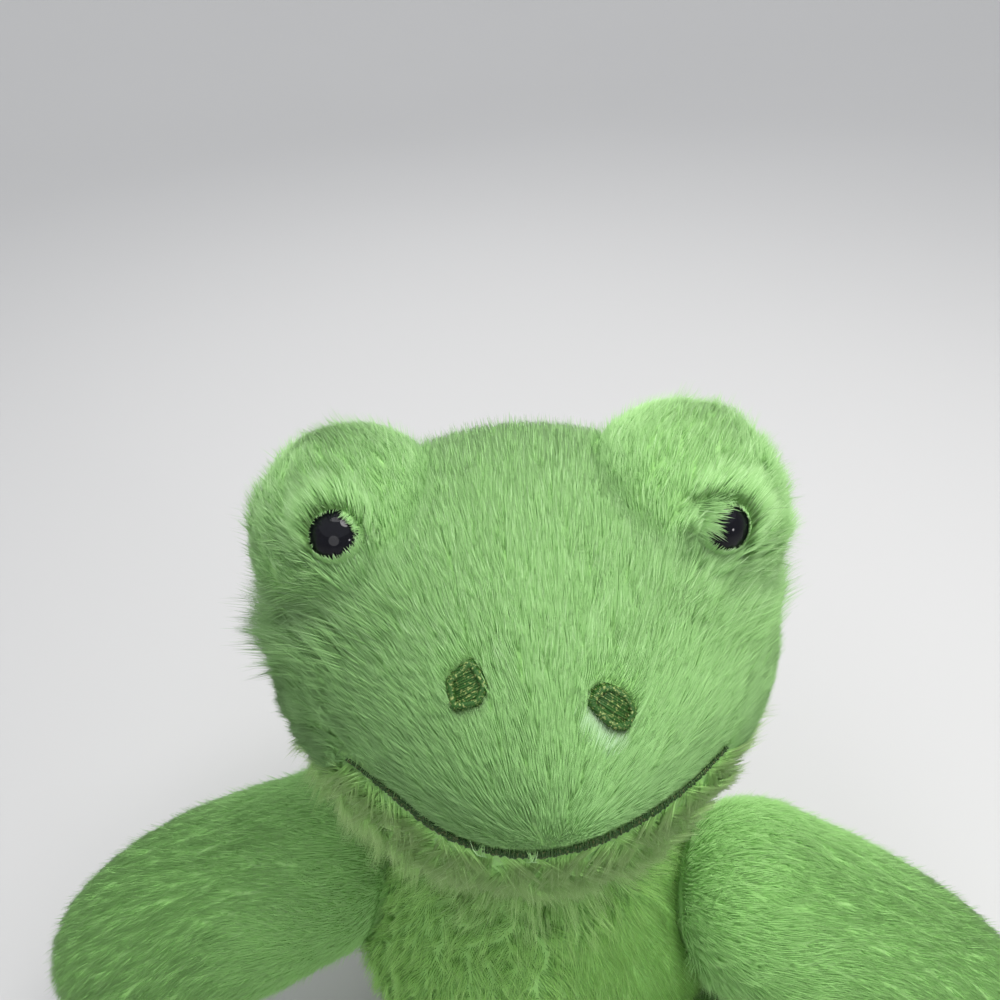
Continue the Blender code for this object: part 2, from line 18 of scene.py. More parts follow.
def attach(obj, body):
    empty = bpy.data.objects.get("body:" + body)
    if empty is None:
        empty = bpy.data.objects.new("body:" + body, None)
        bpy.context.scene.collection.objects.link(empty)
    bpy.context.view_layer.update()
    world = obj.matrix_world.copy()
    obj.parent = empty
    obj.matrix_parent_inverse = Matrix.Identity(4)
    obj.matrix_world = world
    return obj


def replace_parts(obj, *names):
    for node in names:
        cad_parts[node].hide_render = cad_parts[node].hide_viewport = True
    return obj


bl_info = {
    "name": "Plush Frog",
    "version": (1, 0, 0),
    "blender": (4, 5, 0),
    "location": "View3D > Sidebar > Plush Frog",
    "description": "Long-pile plush, glossy eyes and satin embroidery for a sitting toy frog",
    "category": "Object",
}

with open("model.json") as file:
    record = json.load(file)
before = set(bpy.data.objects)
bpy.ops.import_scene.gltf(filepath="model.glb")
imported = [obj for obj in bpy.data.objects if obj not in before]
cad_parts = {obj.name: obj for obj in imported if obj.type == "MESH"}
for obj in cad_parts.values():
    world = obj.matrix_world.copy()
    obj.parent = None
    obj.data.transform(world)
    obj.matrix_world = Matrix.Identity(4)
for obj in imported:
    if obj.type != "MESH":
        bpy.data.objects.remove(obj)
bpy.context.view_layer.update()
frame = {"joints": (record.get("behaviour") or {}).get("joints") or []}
JOINTS = {joint["name"]: np.array(joint["pos_m"], float) for joint in frame["joints"]}
SIDES = {"left": -1, "right": 1}

# Torso
NECK_HEIGHT = 0.080
NECK_RADIUS = 0.0275
TORSO_LENGTH = 0.0805
TORSO_WIDEST_SHARE = 0.56
TORSO_ROUNDNESS = 3.0
BELLY_FORWARD = 0.0040
THROAT_START = 0.081

# Head, measured in the neck's tilted frame
HEAD_MIDDLE = np.array([0.0, -0.0108, 0.0445])
HEAD_TILT = math.radians(16)
SNOUT_REACH = 0.0040
SNOUT_DROP = 0.0020
SNOUT_SPREAD_SHARES = (0.60, 0.45)
JAW_TAPER_SHARE = 0.13
JAW_TOP_SHARE = 0.35
JAW_LOW_SHARE = -0.75
FACE_START = -0.001
MOUTH_REACH = 0.031
FAN_SHARES = (0.02, -1.05, -0.36)

# Eye mounds and eyes
MOUND_PLACE_SHARES = (0.590, -0.156, 0.653)
EYE_RAISE = {-1: math.radians(26), 1: math.radians(16.5)}
EYE_OUTWARD = {-1: math.radians(1.5), 1: math.radians(11.5)}
EYE_SINK = 0.0020
EYE_HAZE = (0.006, 0.006, 0.010)
FORWARD_START = -0.004

# Limbs
LIMB_ROUNDNESS = 3.6
ARM_SWELL = 0.0025
ARM_BEND = -0.0040
ARM_FORWARD = {"left": math.radians(11), "right": math.radians(26)}
ARM_DROOP = {"left": math.radians(15), "right": math.radians(22)}
LEG_SWELL = 0.0015
LEG_SPLAY = math.radians(14)
FOOT_HEIGHT_EXTRA = 0.0050
FOOT_WIDTH_EXTRA = 0.0010
SEAM_GAP = 0.0004

# How far the pile below each eye reaches over it, as a share of its width
RIM_COVER = {"left": 0.28, "right": 0.26}

# Factors on the pile's colours, and the colours of loose strands at the root, the middle and the tip
HEAD_TINT = (0.80, 0.85, 0.79)
ARM_TINT = (0.90, 1.0, 0.82)
# The belly's strands are this much darker at the root: painted shade deep in the pile
BELLY_ROOT_PAINTED_SHADE = 0.6
FRINGE_TINTS = ((0.38, 0.62, 0.28), (0.50, 0.74, 0.42), (0.62, 0.82, 0.56))
WISP_TINTS = ((0.34, 0.58, 0.22), (0.42, 0.68, 0.30), (0.52, 0.76, 0.40))

# Embroidery, as places aside and up from the middle of the head
NOSTRIL_CORNERS = {
    "left": ((-0.0064, 0.0184), (-0.0084, 0.0216), (-0.0125, 0.0187), (-0.0120, 0.0149), (-0.0077, 0.0159)),
    "right": (
        (0.0149, 0.0125),
        (0.0136, 0.0152),
        (0.0110, 0.0170),
        (0.0093, 0.0171),
        (0.0073, 0.0154),
        (0.0109, 0.0111),
        (0.0132, 0.0104),
    ),
}
NOSTRIL_LEAN = {"left": math.radians(24), "right": math.radians(-38)}
MOUTH_LINE = (
    (-0.0300, 0.0029),
    (-0.0255, 0.0012),
    (-0.0208, -0.0014),
    (-0.0157, -0.0054),
    (-0.0097, -0.0074),
    (-0.0055, -0.0081),
    (-0.0022, -0.0083),
    (0.0032, -0.0080),
    (0.0086, -0.0072),
    (0.0150, -0.0056),
    (0.0220, -0.0040),
    (0.0257, -0.0026),
    (0.0308, -0.0012),
)
MOUTH_BREAKS = (-0.0093, -0.0019)
THREAD_SPACING = 0.00027
THREAD_RADIUS = 0.00017
CORE_THREAD_RADIUS = 0.00012
HEM_THREADS = 96
MOUTH_WISPS = 22

# The pellet pouch in the seat
POUCH_MIDDLE = (0, 0.0030, 0.0152)
POUCH_RADIUS = 0.0170
POUCH_HALF_HEIGHT = 0.0100

# Where along a strand it is tried against the nostrils
REACH_SHARES = (0.15, 0.3, 0.45, 0.6, 0.75, 0.9, 1.0)

# Locks of pile: a lock's size, how much longer it is than wide, and a wisp's size
HEAD_LOCKS = (0.0026, 1.6, 0.0010)
MOUND_LOCKS = (0.0026, 1.5, 0.0010)
TORSO_LOCKS = (0.0028, 1.4, 0.0011)
LIMB_LOCKS = (0.0028, 1.6, 0.0011)

# Starting numbers for each form's hashed values
HEAD_SALT = 1
MOUND_SALT = 31
TORSO_SALT = 61
LIMB_SALTS = {"left": 85, "right": 86}

# Two irrational steps whose fractions make even pairs
EVEN_STEPS = (0.7548776662, 0.5698402910)

# How high above the floor pile grows and how low its strands may hang
ROOT_CLEAR = 0.0012
FLOOR_CLEAR = 0.0002

# Finishes: strands take one of so many shades, each a factor on the pile's colour
SHADE_STEPS = 48
STRAND_DARK = (0.64, 0.70, 0.62)
STRAND_PLAIN = (1.0, 1.0, 1.0)
STRAND_GLINT = (1.28, 1.14, 1.40)
# The ground's colour is the pile's times this factor: painted shade in the gaps between strands
GROUND_PAINTED_SHADE = 0.6
SHADER_SOCKETS = {
    "roughness": "Roughness",
    "specular": "Specular IOR Level",
    "coat": "Coat Weight",
    "coat_roughness": "Coat Roughness",
}

# The camera: its focal length and width in millimetres, its turns round Z, down and clockwise, and its place
CAMERA_FOCUS = 28.08
CAMERA_WIDTH = 36
CAMERA_TURNS = (math.radians(0.3), math.radians(38), math.radians(4.4))
CAMERA_PLACE = (-0.0023, -0.1015, 0.2451)

# Each lamp's place and aim, the width of its disc, its power and its colour
LAMPS = {
    "glint": ((0.75, -0.75, 0.35), (0, -0.04, 0.12), 0.13, 0.9, (1.0, 1.0, 1.0)),
    "key": ((0.24, 0.0, 0.66), (0, -0.02, 0.1), 0.30, 3.0, (1.0, 0.99, 0.97)),
    "fill": ((-0.25, -1.30, 0.70), (0, -0.02, 0.05), 0.9, 4.1, (1.0, 1.0, 1.0)),
    "rim": ((-0.10, 0.50, 0.60), (0, -0.02, 0.1), 0.5, 0.9, (1.0, 1.0, 1.0)),
    "backdrop": ((0.0, 0.4, 1.9), (0, 2.2, 0.2), 1.2, 13.0, (1.0, 1.0, 1.0)),
}
SKY_COLOUR = (0.92, 0.95, 1.0, 1)
SKY_POWER = 0.80


def a_length(name, about, default):
    """A length that a user can change."""
    return FloatProperty(name=name, description=about, default=default, unit="LENGTH")


def a_count(name, about, default, least):
    """A number of strands that a user can change."""
    return IntProperty(name=name, description=about, default=default, min=least)


def a_colour(name, about, default):
    """A colour that a user can change."""
    return FloatVectorProperty(name=name, description=about, subtype="COLOR", default=default)


class FrogSizes(bpy.types.PropertyGroup):
    """The frog's sizes."""

    head_width: a_length("Head width", "Across the cheeks", 0.096)
    head_depth: a_length("Head depth", "Back to brow", 0.084)
    head_height: a_length("Head height", "Chin to crown", 0.087)
    mound_width: a_length("Eye mound width", "Across one mound", 0.0360)
    mound_depth: a_length("Eye mound depth", "Front to back", 0.0380)
    mound_height: a_length("Eye mound height", "Whole egg, part sunk", 0.0400)
    torso_width: a_length("Torso width", "At the widest", 0.096)
    torso_depth: a_length("Torso depth", "At the widest", 0.086)
    arm_radius: a_length("Arm radius", "At the shoulder seam", 0.0205)
    arm_length: a_length("Arm length", "From the seam's centre", 0.0680)
    leg_radius: a_length("Leg radius", "At the hip seam", 0.0200)
    leg_length: a_length("Leg length", "From the seam's centre", 0.0580)
    eye_radius: a_length("Eye radius", "Across the dome", 0.0046)
    eye_height: a_length("Eye height", "Of the dome", 0.0040)


class FrogPile(bpy.types.PropertyGroup):
    """The plush's pile."""

    face_length: a_length("Face pile", "Length of the face's strands", 0.0052)
    body_length: a_length("Body pile", "Length of the body's strands", 0.0058)
    strand_width: a_length("Strand width", "At the root", 0.00017)
    face_count: a_count("Face strands", "Strands on the whole head", 190000, 1000)
    mound_count: a_count("Mound strands", "Strands on each eye mound", 19000, 500)
    torso_count: a_count("Torso strands", "Strands on the torso", 52000, 500)
    arm_count: a_count("Arm strands", "Strands on each arm", 36000, 500)
    leg_count: a_count("Leg strands", "Strands on each leg", 20000, 500)


class FrogColours(bpy.types.PropertyGroup):
    """The colours of plush, thread and plastic."""

    fur: a_colour("Fur", "Light green pile", (0.42, 0.70, 0.28))
    fur_root: a_colour("Fur root", "Pile in the shade of its neighbours", (0.32, 0.60, 0.19))
    fur_tip: a_colour("Fur tip", "Bright ends of the strands", (0.52, 0.79, 0.38))
    belly: a_colour("Belly fur", "Yellower green pile", (0.40, 0.75, 0.19))
    belly_tip: a_colour("Belly tip", "Ends of the belly's strands", (0.50, 0.84, 0.27))
    throat: a_colour("Throat fur", "Pale pile under the chin", (0.45, 0.78, 0.24))
    throat_tip: a_colour("Throat tip", "Pale ends under the chin", (0.62, 0.88, 0.37))
    thread: a_colour("Thread", "Dark green satin thread", (0.028, 0.10, 0.015))
    thread_glint: a_colour("Thread glint", "Where the thread shines", (0.30, 0.36, 0.12))
    eye: a_colour("Eye", "Glossy black plastic", (0.004, 0.004, 0.005))
    floor: a_colour("Floor", "Pale floor", (0.52, 0.515, 0.51))


def settings(context):
    """The scene's sizes, pile and colours."""
    scene = context.scene
    return scene.frog_sizes, scene.frog_pile, scene.frog_colours


def unit_vectors(vectors):
    """Each vector divided by its own length."""
    return vectors / np.maximum(np.linalg.norm(vectors, axis=-1, keepdims=True), 1e-12)


def directions(polar, around):
    """Unit directions from an angle off the pole and an angle round it."""
    flat = np.sin(polar)
    return np.stack([flat * np.cos(around), flat * np.sin(around), np.cos(polar) + 0 * around], -1)


def eased(value, low, high):
    """0 below low, 1 above high, and 3t squared less 2t cubed between them."""
    share = np.clip((value - low) / (high - low), 0, 1)
    return share * share * (3 - 2 * share)


def turned_x(angle):
    """The matrix that turns about X."""
    return np.array(Matrix.Rotation(angle, 3, "X"))


def pointing(direction, up=(0, 0, 1)):
    """The matrix whose Z column is the direction, with Y as near as it can be to up."""
    forward = unit_vectors(np.array(direction, float))
    across = unit_vectors(np.cross(np.array(up, float), forward))
    return np.stack([across, np.cross(forward, across), forward], -1)


HEAD_TURN = turned_x(-HEAD_TILT)


def from_head(local):
    """A point of the neck's tilted frame, in the row frame."""
    return JOINTS["neck_nod"] + local @ HEAD_TURN.T


def to_head(points):
    """A point of the row frame, in the neck's tilted frame."""
    return (points - JOINTS["neck_nod"]) @ HEAD_TURN


def torso_section(along, sizes):
    """Half width and half depth: the neck's radius plus a sine's growth, times a superellipse's rounding."""
    growth = np.sin(math.pi / 2 * np.minimum(1, along / TORSO_WIDEST_SHARE))
    rounding = np.clip(1 - along**TORSO_ROUNDNESS, 0, 1) ** (1 / TORSO_ROUNDNESS)
    wide = NECK_RADIUS + (sizes.torso_width / 2 - NECK_RADIUS) * growth
    deep = NECK_RADIUS + (sizes.torso_depth / 2 - NECK_RADIUS) * growth
    return wide * rounding, deep * rounding


def torso_middle(along):
    """The middle of a section, which a sine's arc carries forward at the belly."""
    neck = JOINTS["neck_nod"]
    ahead = neck[1] * (1 - along) - BELLY_FORWARD * np.sin(math.pi * along)
    return np.stack([0 * along, ahead, neck[2] - TORSO_LENGTH * along], -1)


def torso_shape(unit, sizes):
    """A ball about the neck above, and below it a pear of elliptic sections down to the flat seat."""
    along = np.clip(-unit[..., 2], 0, 1)
    wide, deep = torso_section(along, sizes)
    level = unit_vectors(unit[..., :2])
    pear = torso_middle(along) + np.stack([level[..., 0] * wide, level[..., 1] * deep, 0 * along], -1)
    ball = JOINTS["neck_nod"] + unit * NECK_RADIUS
    shape = np.where(unit[..., 2:] >= 0, ball, pear)
    shape[..., 2] = np.maximum(shape[..., 2], 0)
    return shape


def head_half(sizes):
    """Half the head's width, depth and height."""
    return np.array([sizes.head_width, sizes.head_depth, sizes.head_height]) / 2


def jaw_share(height_share):
    """How much of its width the head keeps: eased from 1 at the brow to less at the jaw."""
    return 1 - JAW_TAPER_SHARE * eased(-height_share, -JAW_TOP_SHARE, -JAW_LOW_SHARE)


def head_shape(unit, sizes):
    """An egg, narrower at the jaw, its front pushed out by a bell-shaped bump for the snout."""
    half = head_half(sizes)
    spread_x, spread_z = SNOUT_SPREAD_SHARES
    drop = unit[..., 2] + SNOUT_DROP / half[2]
    bump = SNOUT_REACH * np.exp(-((unit[..., 0] / spread_x) ** 2) - (drop / spread_z) ** 2)
    local = unit * half
    local[..., 0] *= jaw_share(unit[..., 2])
    local[..., 1] -= np.maximum(0, -unit[..., 1]) * bump
    return from_head(HEAD_MIDDLE + local)


def face_unit(aside, height, sizes):
    """The direction whose place on the face is that far beside and above the head's middle."""
    half = head_half(sizes)
    up = height / half[2]
    across = aside / half[0] / jaw_share(up)
    return np.stack([across, -np.sqrt(np.maximum(0, 1 - across**2 - up**2)), up], -1)


def face_point(aside, up, height, sizes):
    """A place on the face this far aside and up, and then out along the face's normal by the height."""
    step = 1e-4
    here = head_shape(face_unit(aside, up, sizes), sizes)
    east = head_shape(face_unit(aside + step, up, sizes), sizes) - here
    north = head_shape(face_unit(aside, up + step, sizes), sizes) - here
    return here + unit_vectors(np.cross(east, north)) * height[..., None]


def patch_reach(angle, corners):
    """The distance from a patch's middle to its straight edges, rounded a little at the corners.

    Each edge gives the share of it that one metre in the direction covers. The twelfth powers of
    those shares are added, so that the largest one counts, and the sum's twelfth root is turned over.
    """
    away = corners - corners.mean(0)
    away = away[np.argsort(np.arctan2(away[:, 1], away[:, 0]))]
    edge = np.roll(away, -1, 0) - away
    normal = np.stack([edge[:, 1], -edge[:, 0]], -1)
    normal = normal / (normal * away).sum(-1, keepdims=True)
    heading = np.stack([np.cos(angle), np.sin(angle)], -1)
    return (np.maximum(0, heading @ normal.T) ** 12).sum(-1) ** (-1 / 12)


def patch_share(aside, up, corners):
    """Below 1 inside a patch: the distance from its middle as a share of the way to its edge."""
    middle = corners.mean(0)
    reach = patch_reach(np.arctan2(up - middle[1], aside - middle[0]), corners)
    return np.hypot(aside - middle[0], up - middle[1]) / reach


def mouth_height(aside):
    """The mouth line's height, evened out by averaging over nine near places."""
    table = np.array(MOUTH_LINE)
    near = np.asarray(aside)[..., None] + np.linspace(-0.0024, 0.0024, 9)
    return np.interp(near, table[:, 0], table[:, 1]).mean(-1)


def mound_middle(side, sizes):
    """The middle of an eye mound, in the neck's tilted frame."""
    return HEAD_MIDDLE + np.array(MOUND_PLACE_SHARES) * (side, 1, 1) * head_half(sizes)


def mound_half(sizes):
    """Half a mound's width, depth and height."""
    return np.array([sizes.mound_width, sizes.mound_depth, sizes.mound_height]) / 2


def mound_shape(unit, side, sizes):
    """An upright egg."""
    return from_head(mound_middle(side, sizes) + unit * mound_half(sizes))


def limb_shape(unit, seat, turn, radius, length, swell, wider, taller, bend):
    """Half a ball at the seam, then a limb that swells by a sine's arc and rounds off as a superellipse."""
    along = np.clip(unit[..., 2], 0, 1)
    rounding = np.clip(1 - along**LIMB_ROUNDNESS, 0, 1) ** (1 / LIMB_ROUNDNESS)
    girth = radius + swell * np.sin(math.pi * along)
    level = unit_vectors(unit[..., :2])
    wide = (girth + wider * along**2) * rounding
    tall = (girth + taller * along**2) * rounding
    lift = (bend + taller) * along**2
    tube = np.stack([level[..., 0] * wide, level[..., 1] * tall + lift, length * along], -1)
    return seat + np.where(unit[..., 2:] <= 0, unit * radius, tube) @ turn.T


def arm_turn(word):
    """The arm's frame, its Z from the shoulder to the hand."""
    flat = math.cos(ARM_DROOP[word])
    out = SIDES[word] * math.cos(ARM_FORWARD[word]) * flat
    return pointing((out, -math.sin(ARM_FORWARD[word]) * flat, -math.sin(ARM_DROOP[word])))


def leg_turn(word):
    """The leg's frame, its Z from the hip to the foot."""
    return pointing((SIDES[word] * math.sin(LEG_SPLAY), -math.cos(LEG_SPLAY), 0))


def arm_shape(unit, word, sizes):
    """An arm, sewn on at its thinner end."""
    seam = (JOINTS["shoulder_" + word], arm_turn(word))
    return limb_shape(unit, *seam, sizes.arm_radius, sizes.arm_length, ARM_SWELL, 0, 0, ARM_BEND)


def leg_shape(unit, word, sizes):
    """A leg on the floor, whose foot stands taller than its thigh."""
    seam = (JOINTS["hip_" + word], leg_turn(word))
    foot = (FOOT_WIDTH_EXTRA, FOOT_HEIGHT_EXTRA)
    shape = limb_shape(unit, *seam, sizes.leg_radius, sizes.leg_length, LEG_SWELL, *foot, 0)
    shape[..., 2] = np.maximum(shape[..., 2], 0)
    return shape


def dished(points, centre, radius):
    """Points inside a ball, moved straight out from its centre to its surface."""
    away = points - centre
    distance = np.linalg.norm(away, axis=-1, keepdims=True)
    return np.where(distance < radius, centre + away / np.maximum(distance, 1e-9) * radius, points)


def depth_in_torso(points, sizes):
    """Below 1 inside the torso: the place in its elliptic section, as a share of the section's edge."""
    along = np.clip((NECK_HEIGHT - points[..., 2]) / TORSO_LENGTH, 0, 1)
    wide, deep = torso_section(along, sizes)
    away = points - torso_middle(along)
    return np.hypot(away[..., 0] / np.maximum(wide, 1e-6), away[..., 1] / np.maximum(deep, 1e-6))


def depth_in_egg(local, middle, half):
    """Below 1 inside an egg."""
    return np.linalg.norm((local - middle) / half, axis=-1)


def hashed(cells, salt):
    """A number from 0 to 1 for each cell: the fraction of a large multiple of a sine of its place."""
    mixed = cells @ np.array([127.1, 311.7, 74.7]) + salt * 19.19
    return np.modf(np.abs(np.sin(mixed)) * 43758.5453)[0]


def drift(points, size, salt):
    """Smooth noise from -1 to 1: hashed numbers at the corners of cubes, blended between them."""
    scaled = points / size
    base = np.floor(scaled)
    part = eased(scaled - base, 0, 1)
    total = np.zeros(points.shape[:-1])
    for corner in itertools.product((0, 1), repeat=3):
        weight = np.where(np.array(corner), part, 1 - part).prod(-1)
        total += weight * hashed(base + corner, salt)
    return total * 2 - 1


def nearest_lock(points, flow, size, stretch, salt):
    """The middle of the lock that each root belongs to, and that lock's own number from 0 to 1.

    Each cube of the lock's size holds one lock at a hashed place. A root belongs to the one that is
    nearest when distances along the flow are divided by the stretch.
    """
    base = np.floor(points / size)
    best = np.full(len(points), np.inf)
    middle = points.copy()
    label = np.zeros(len(points))
    for step in itertools.product((-1, 0, 1), repeat=3):
        cell = base + step
        place = (cell + np.stack([hashed(cell, salt + axis) for axis in range(3)], -1)) * size
        away = place - points
        along = (away * flow).sum(-1)
        distance = (away**2).sum(-1) - along**2 * (1 - 1 / stretch**2)
        nearer = distance < best
        best = np.where(nearer, distance, best)
        middle = np.where(nearer[:, None], place, middle)
        label = np.where(nearer, hashed(cell, salt + 7), label)
    return middle, label


def scatter(shape, count, weight):
    """Roots spread evenly over a closed form, denser where weight is larger, with their normals.

    Two irrational steps give an even sequence of pairs from 0 to 1. The first picks the row and the
    second the column of a grid of directions, each by the share of the weighted area so far.
    """
    rows, columns = 180, 240
    polar = np.linspace(0, math.pi, rows + 1)[:, None]
    around = np.linspace(0, 2 * math.pi, columns + 1)[None, :]
    corners = shape(directions(polar, around))
    one = corners[1:, 1:] - corners[:-1, :-1]
    other = corners[1:, :-1] - corners[:-1, 1:]
    middles = (corners[1:, 1:] + corners[:-1, :-1]) / 2
    amount = np.linalg.norm(np.cross(one, other), axis=-1) / 2 * weight(middles) + 1e-15
    row_edges = np.concatenate([[0], amount.sum(1).cumsum()]) / amount.sum()
    column_edges = np.concatenate([np.zeros((rows, 1)), amount.cumsum(1)], 1) / amount.sum(1)[:, None]
    order = np.arange(count) + 0.5
    first, second = (np.modf(order * step)[0] for step in EVEN_STEPS)
    row = np.clip(np.searchsorted(row_edges, first, side="right") - 1, 0, rows - 1)
    row_share = (first - row_edges[row]) / (row_edges[row + 1] - row_edges[row])
    rising = (column_edges + np.arange(rows)[:, None]).ravel()
    place = np.searchsorted(rising, row + second, side="right") - 1 - row * (columns + 1)
    column = np.clip(place, 0, columns - 1)
    low, high = column_edges[row, column], column_edges[row, column + 1]
    polar = (row + row_share) / rows * math.pi
    around = (column + (second - low) / (high - low)) / columns * 2 * math.pi
    step = 1e-4
    points = shape(directions(polar, around))
    south = shape(directions(polar + step, around)) - shape(directions(polar - step, around))
    east = shape(directions(polar, around + step)) - shape(directions(polar, around - step))
    return points, unit_vectors(np.cross(south, east))


def put_mesh(name, corners, faces, smooth=True):
    """A mesh from an array of corners and one or more arrays of faces, each of one corner count."""
    mesh = bpy.data.meshes.new(name)
    mesh.vertices.add(len(corners))
    mesh.vertices.foreach_set("co", np.ascontiguousarray(corners, np.float32).ravel())
    loops = np.concatenate([group.ravel() for group in faces])
    counts = np.concatenate([np.full(len(group), group.shape[1]) for group in faces])
    mesh.loops.add(len(loops))
    mesh.loops.foreach_set("vertex_index", loops.astype(np.int32))
    mesh.polygons.add(len(counts))
    starts = np.concatenate([[0], counts.cumsum()[:-1]])
    mesh.polygons.foreach_set("loop_start", starts.astype(np.int32))
    mesh.update(calc_edges=True)
    if smooth:
        mesh.shade_smooth()
    return mesh


def put_piece(name, mesh, material, body):
    """An object in the scene that rides on a CAD body and takes the given material as its finish."""
    piece = bpy.data.objects.new(name, mesh)
    bpy.context.scene.collection.objects.link(piece)
    mesh.materials.append(material)
    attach(piece, body)
    return piece


def closed_grid(name, shape, rows, columns):
    """A closed surface over the directions' grid: a fan of triangles at each pole, and squares between."""
    polar = np.linspace(0, math.pi, rows + 1)[1:-1, None]
    around = np.arange(columns)[None, :] / columns * 2 * math.pi
    belt = shape(directions(polar, around))
    poles = shape(np.array([[0.0, 0.0, 1.0], [0.0, 0.0, -1.0]]))
    corners = np.concatenate([poles, belt.reshape(-1, 3)])
    ring = np.arange(columns)
    after = (ring + 1) % columns
    top = np.stack([np.zeros_like(ring), 2 + ring, 2 + after], -1)
    last = 2 + (rows - 2) * columns
    bottom = np.stack([np.ones_like(ring), last + after, last + ring], -1)
    start = 2 + np.arange(rows - 2)[:, None] * columns
    squares = np.stack(
        [start + ring, start + columns + ring, start + columns + after, start + after], -1
    ).reshape(-1, 4)
    return put_mesh(name, corners, [np.concatenate([top, bottom]), squares])


def strand_mesh(name, path, across, above, width, shade):
    """Closed strands of three sides along their paths, each tapering from its root to a point.

    path is strands by stations by three. across and above are unit directions off each strand.
    A face's map coordinate is the strand's shade across and its station up.
    """
    count, stations, _ = path.shape
    rings = stations - 1
    taper = 1 - 0.62 * (np.arange(rings) / max(1, rings)) ** 1.4
    turns = np.radians([90, 210, 330])
    cosine, sine = np.cos(turns)[None, :, None], np.sin(turns)[None, :, None]
    offset = cosine * across[:, None] + sine * above[:, None]
    half = (width / 2)[:, None, None, None] * taper[None, :, None, None]
    ring = path[:, :rings, None] + half * offset[:, None]
    corners = np.concatenate([ring.reshape(count, rings * 3, 3), path[:, -1:]], 1)
    per = rings * 3 + 1
    squares, triangles = [], [[2, 1, 0]]
    for level in range(rings - 1):
        for side in range(3):
            low, after = level * 3 + side, level * 3 + (side + 1) % 3
            squares.append([low, after, after + 3, low + 3])
    for side in range(3):
        triangles.append([(rings - 1) * 3 + side, (rings - 1) * 3 + (side + 1) % 3, per - 1])
    start = np.arange(count)[:, None, None] * per
    faces = [(start + np.array(triangles)).reshape(-1, 3)]
    if squares:
        faces.append((start + np.array(squares)).reshape(-1, 4))
    mesh = put_mesh(name, corners.reshape(-1, 3), faces)
    spread = np.array([0.2, 0.5, 0.8])
    heights = np.repeat(np.linspace(0.02, 0.98, stations)[:rings], 3)
    column = (np.floor(np.clip(shade, 0, 0.999) * SHADE_STEPS) / SHADE_STEPS)[:, None]
    sideways = column + np.append(np.tile(spread, rings), 0.5)[None] / SHADE_STEPS
    upward = np.broadcast_to(np.append(heights, 0.98)[None], sideways.shape)
    spots = np.stack([sideways, upward], -1).reshape(-1, 2)
    loops = np.zeros(len(mesh.loops), np.int32)
    mesh.loops.foreach_get("vertex_index", loops)
    layer = mesh.uv_layers.new(name="OFBake")
    layer.data.foreach_set("uv", spots[loops].astype(np.float32).ravel())
    return mesh


def thread_mesh(name, path, above, radius):
    """Closed round cords of six sides along their paths, narrower at both ends.

    path is threads by stations by three, and above one direction for each thread.
    """
    count, stations, _ = path.shape
    forward = unit_vectors(np.gradient(path, axis=1))
    across = unit_vectors(np.cross(forward, above[:, None]))
    upward = np.cross(across, forward)
    turns = np.arange(6) * math.pi / 3
    end = np.sin(np.linspace(0.18, math.pi - 0.18, stations)) ** 0.35
    offset = np.cos(turns)[:, None] * across[:, :, None] + np.sin(turns)[:, None] * upward[:, :, None]
    corners = path[:, :, None] + offset * (radius * end)[None, :, None, None]
    ring = np.arange(6)
    after = (ring + 1) % 6
    level = np.arange(stations - 1)[:, None] * 6
    squares = np.stack([level + ring, level + ring + 6, level + after + 6, level + after], -1).reshape(-1, 4)
    caps = np.array([ring, ring[::-1] + (stations - 1) * 6])
    start = np.arange(count)[:, None, None] * stations * 6
    faces = [(start + squares).reshape(-1, 4), (start + caps).reshape(-1, 6)]
    return put_mesh(name, corners.reshape(-1, 3), faces)


def joined(name, meshes):
    """One mesh of several, which are then removed."""
    made = bmesh.new()
    for mesh in meshes:
        made.from_mesh(mesh)
        bpy.data.meshes.remove(mesh)
    whole = bpy.data.meshes.new(name)
    made.to_mesh(whole)
    made.free()
    whole.shade_smooth()
    return whole


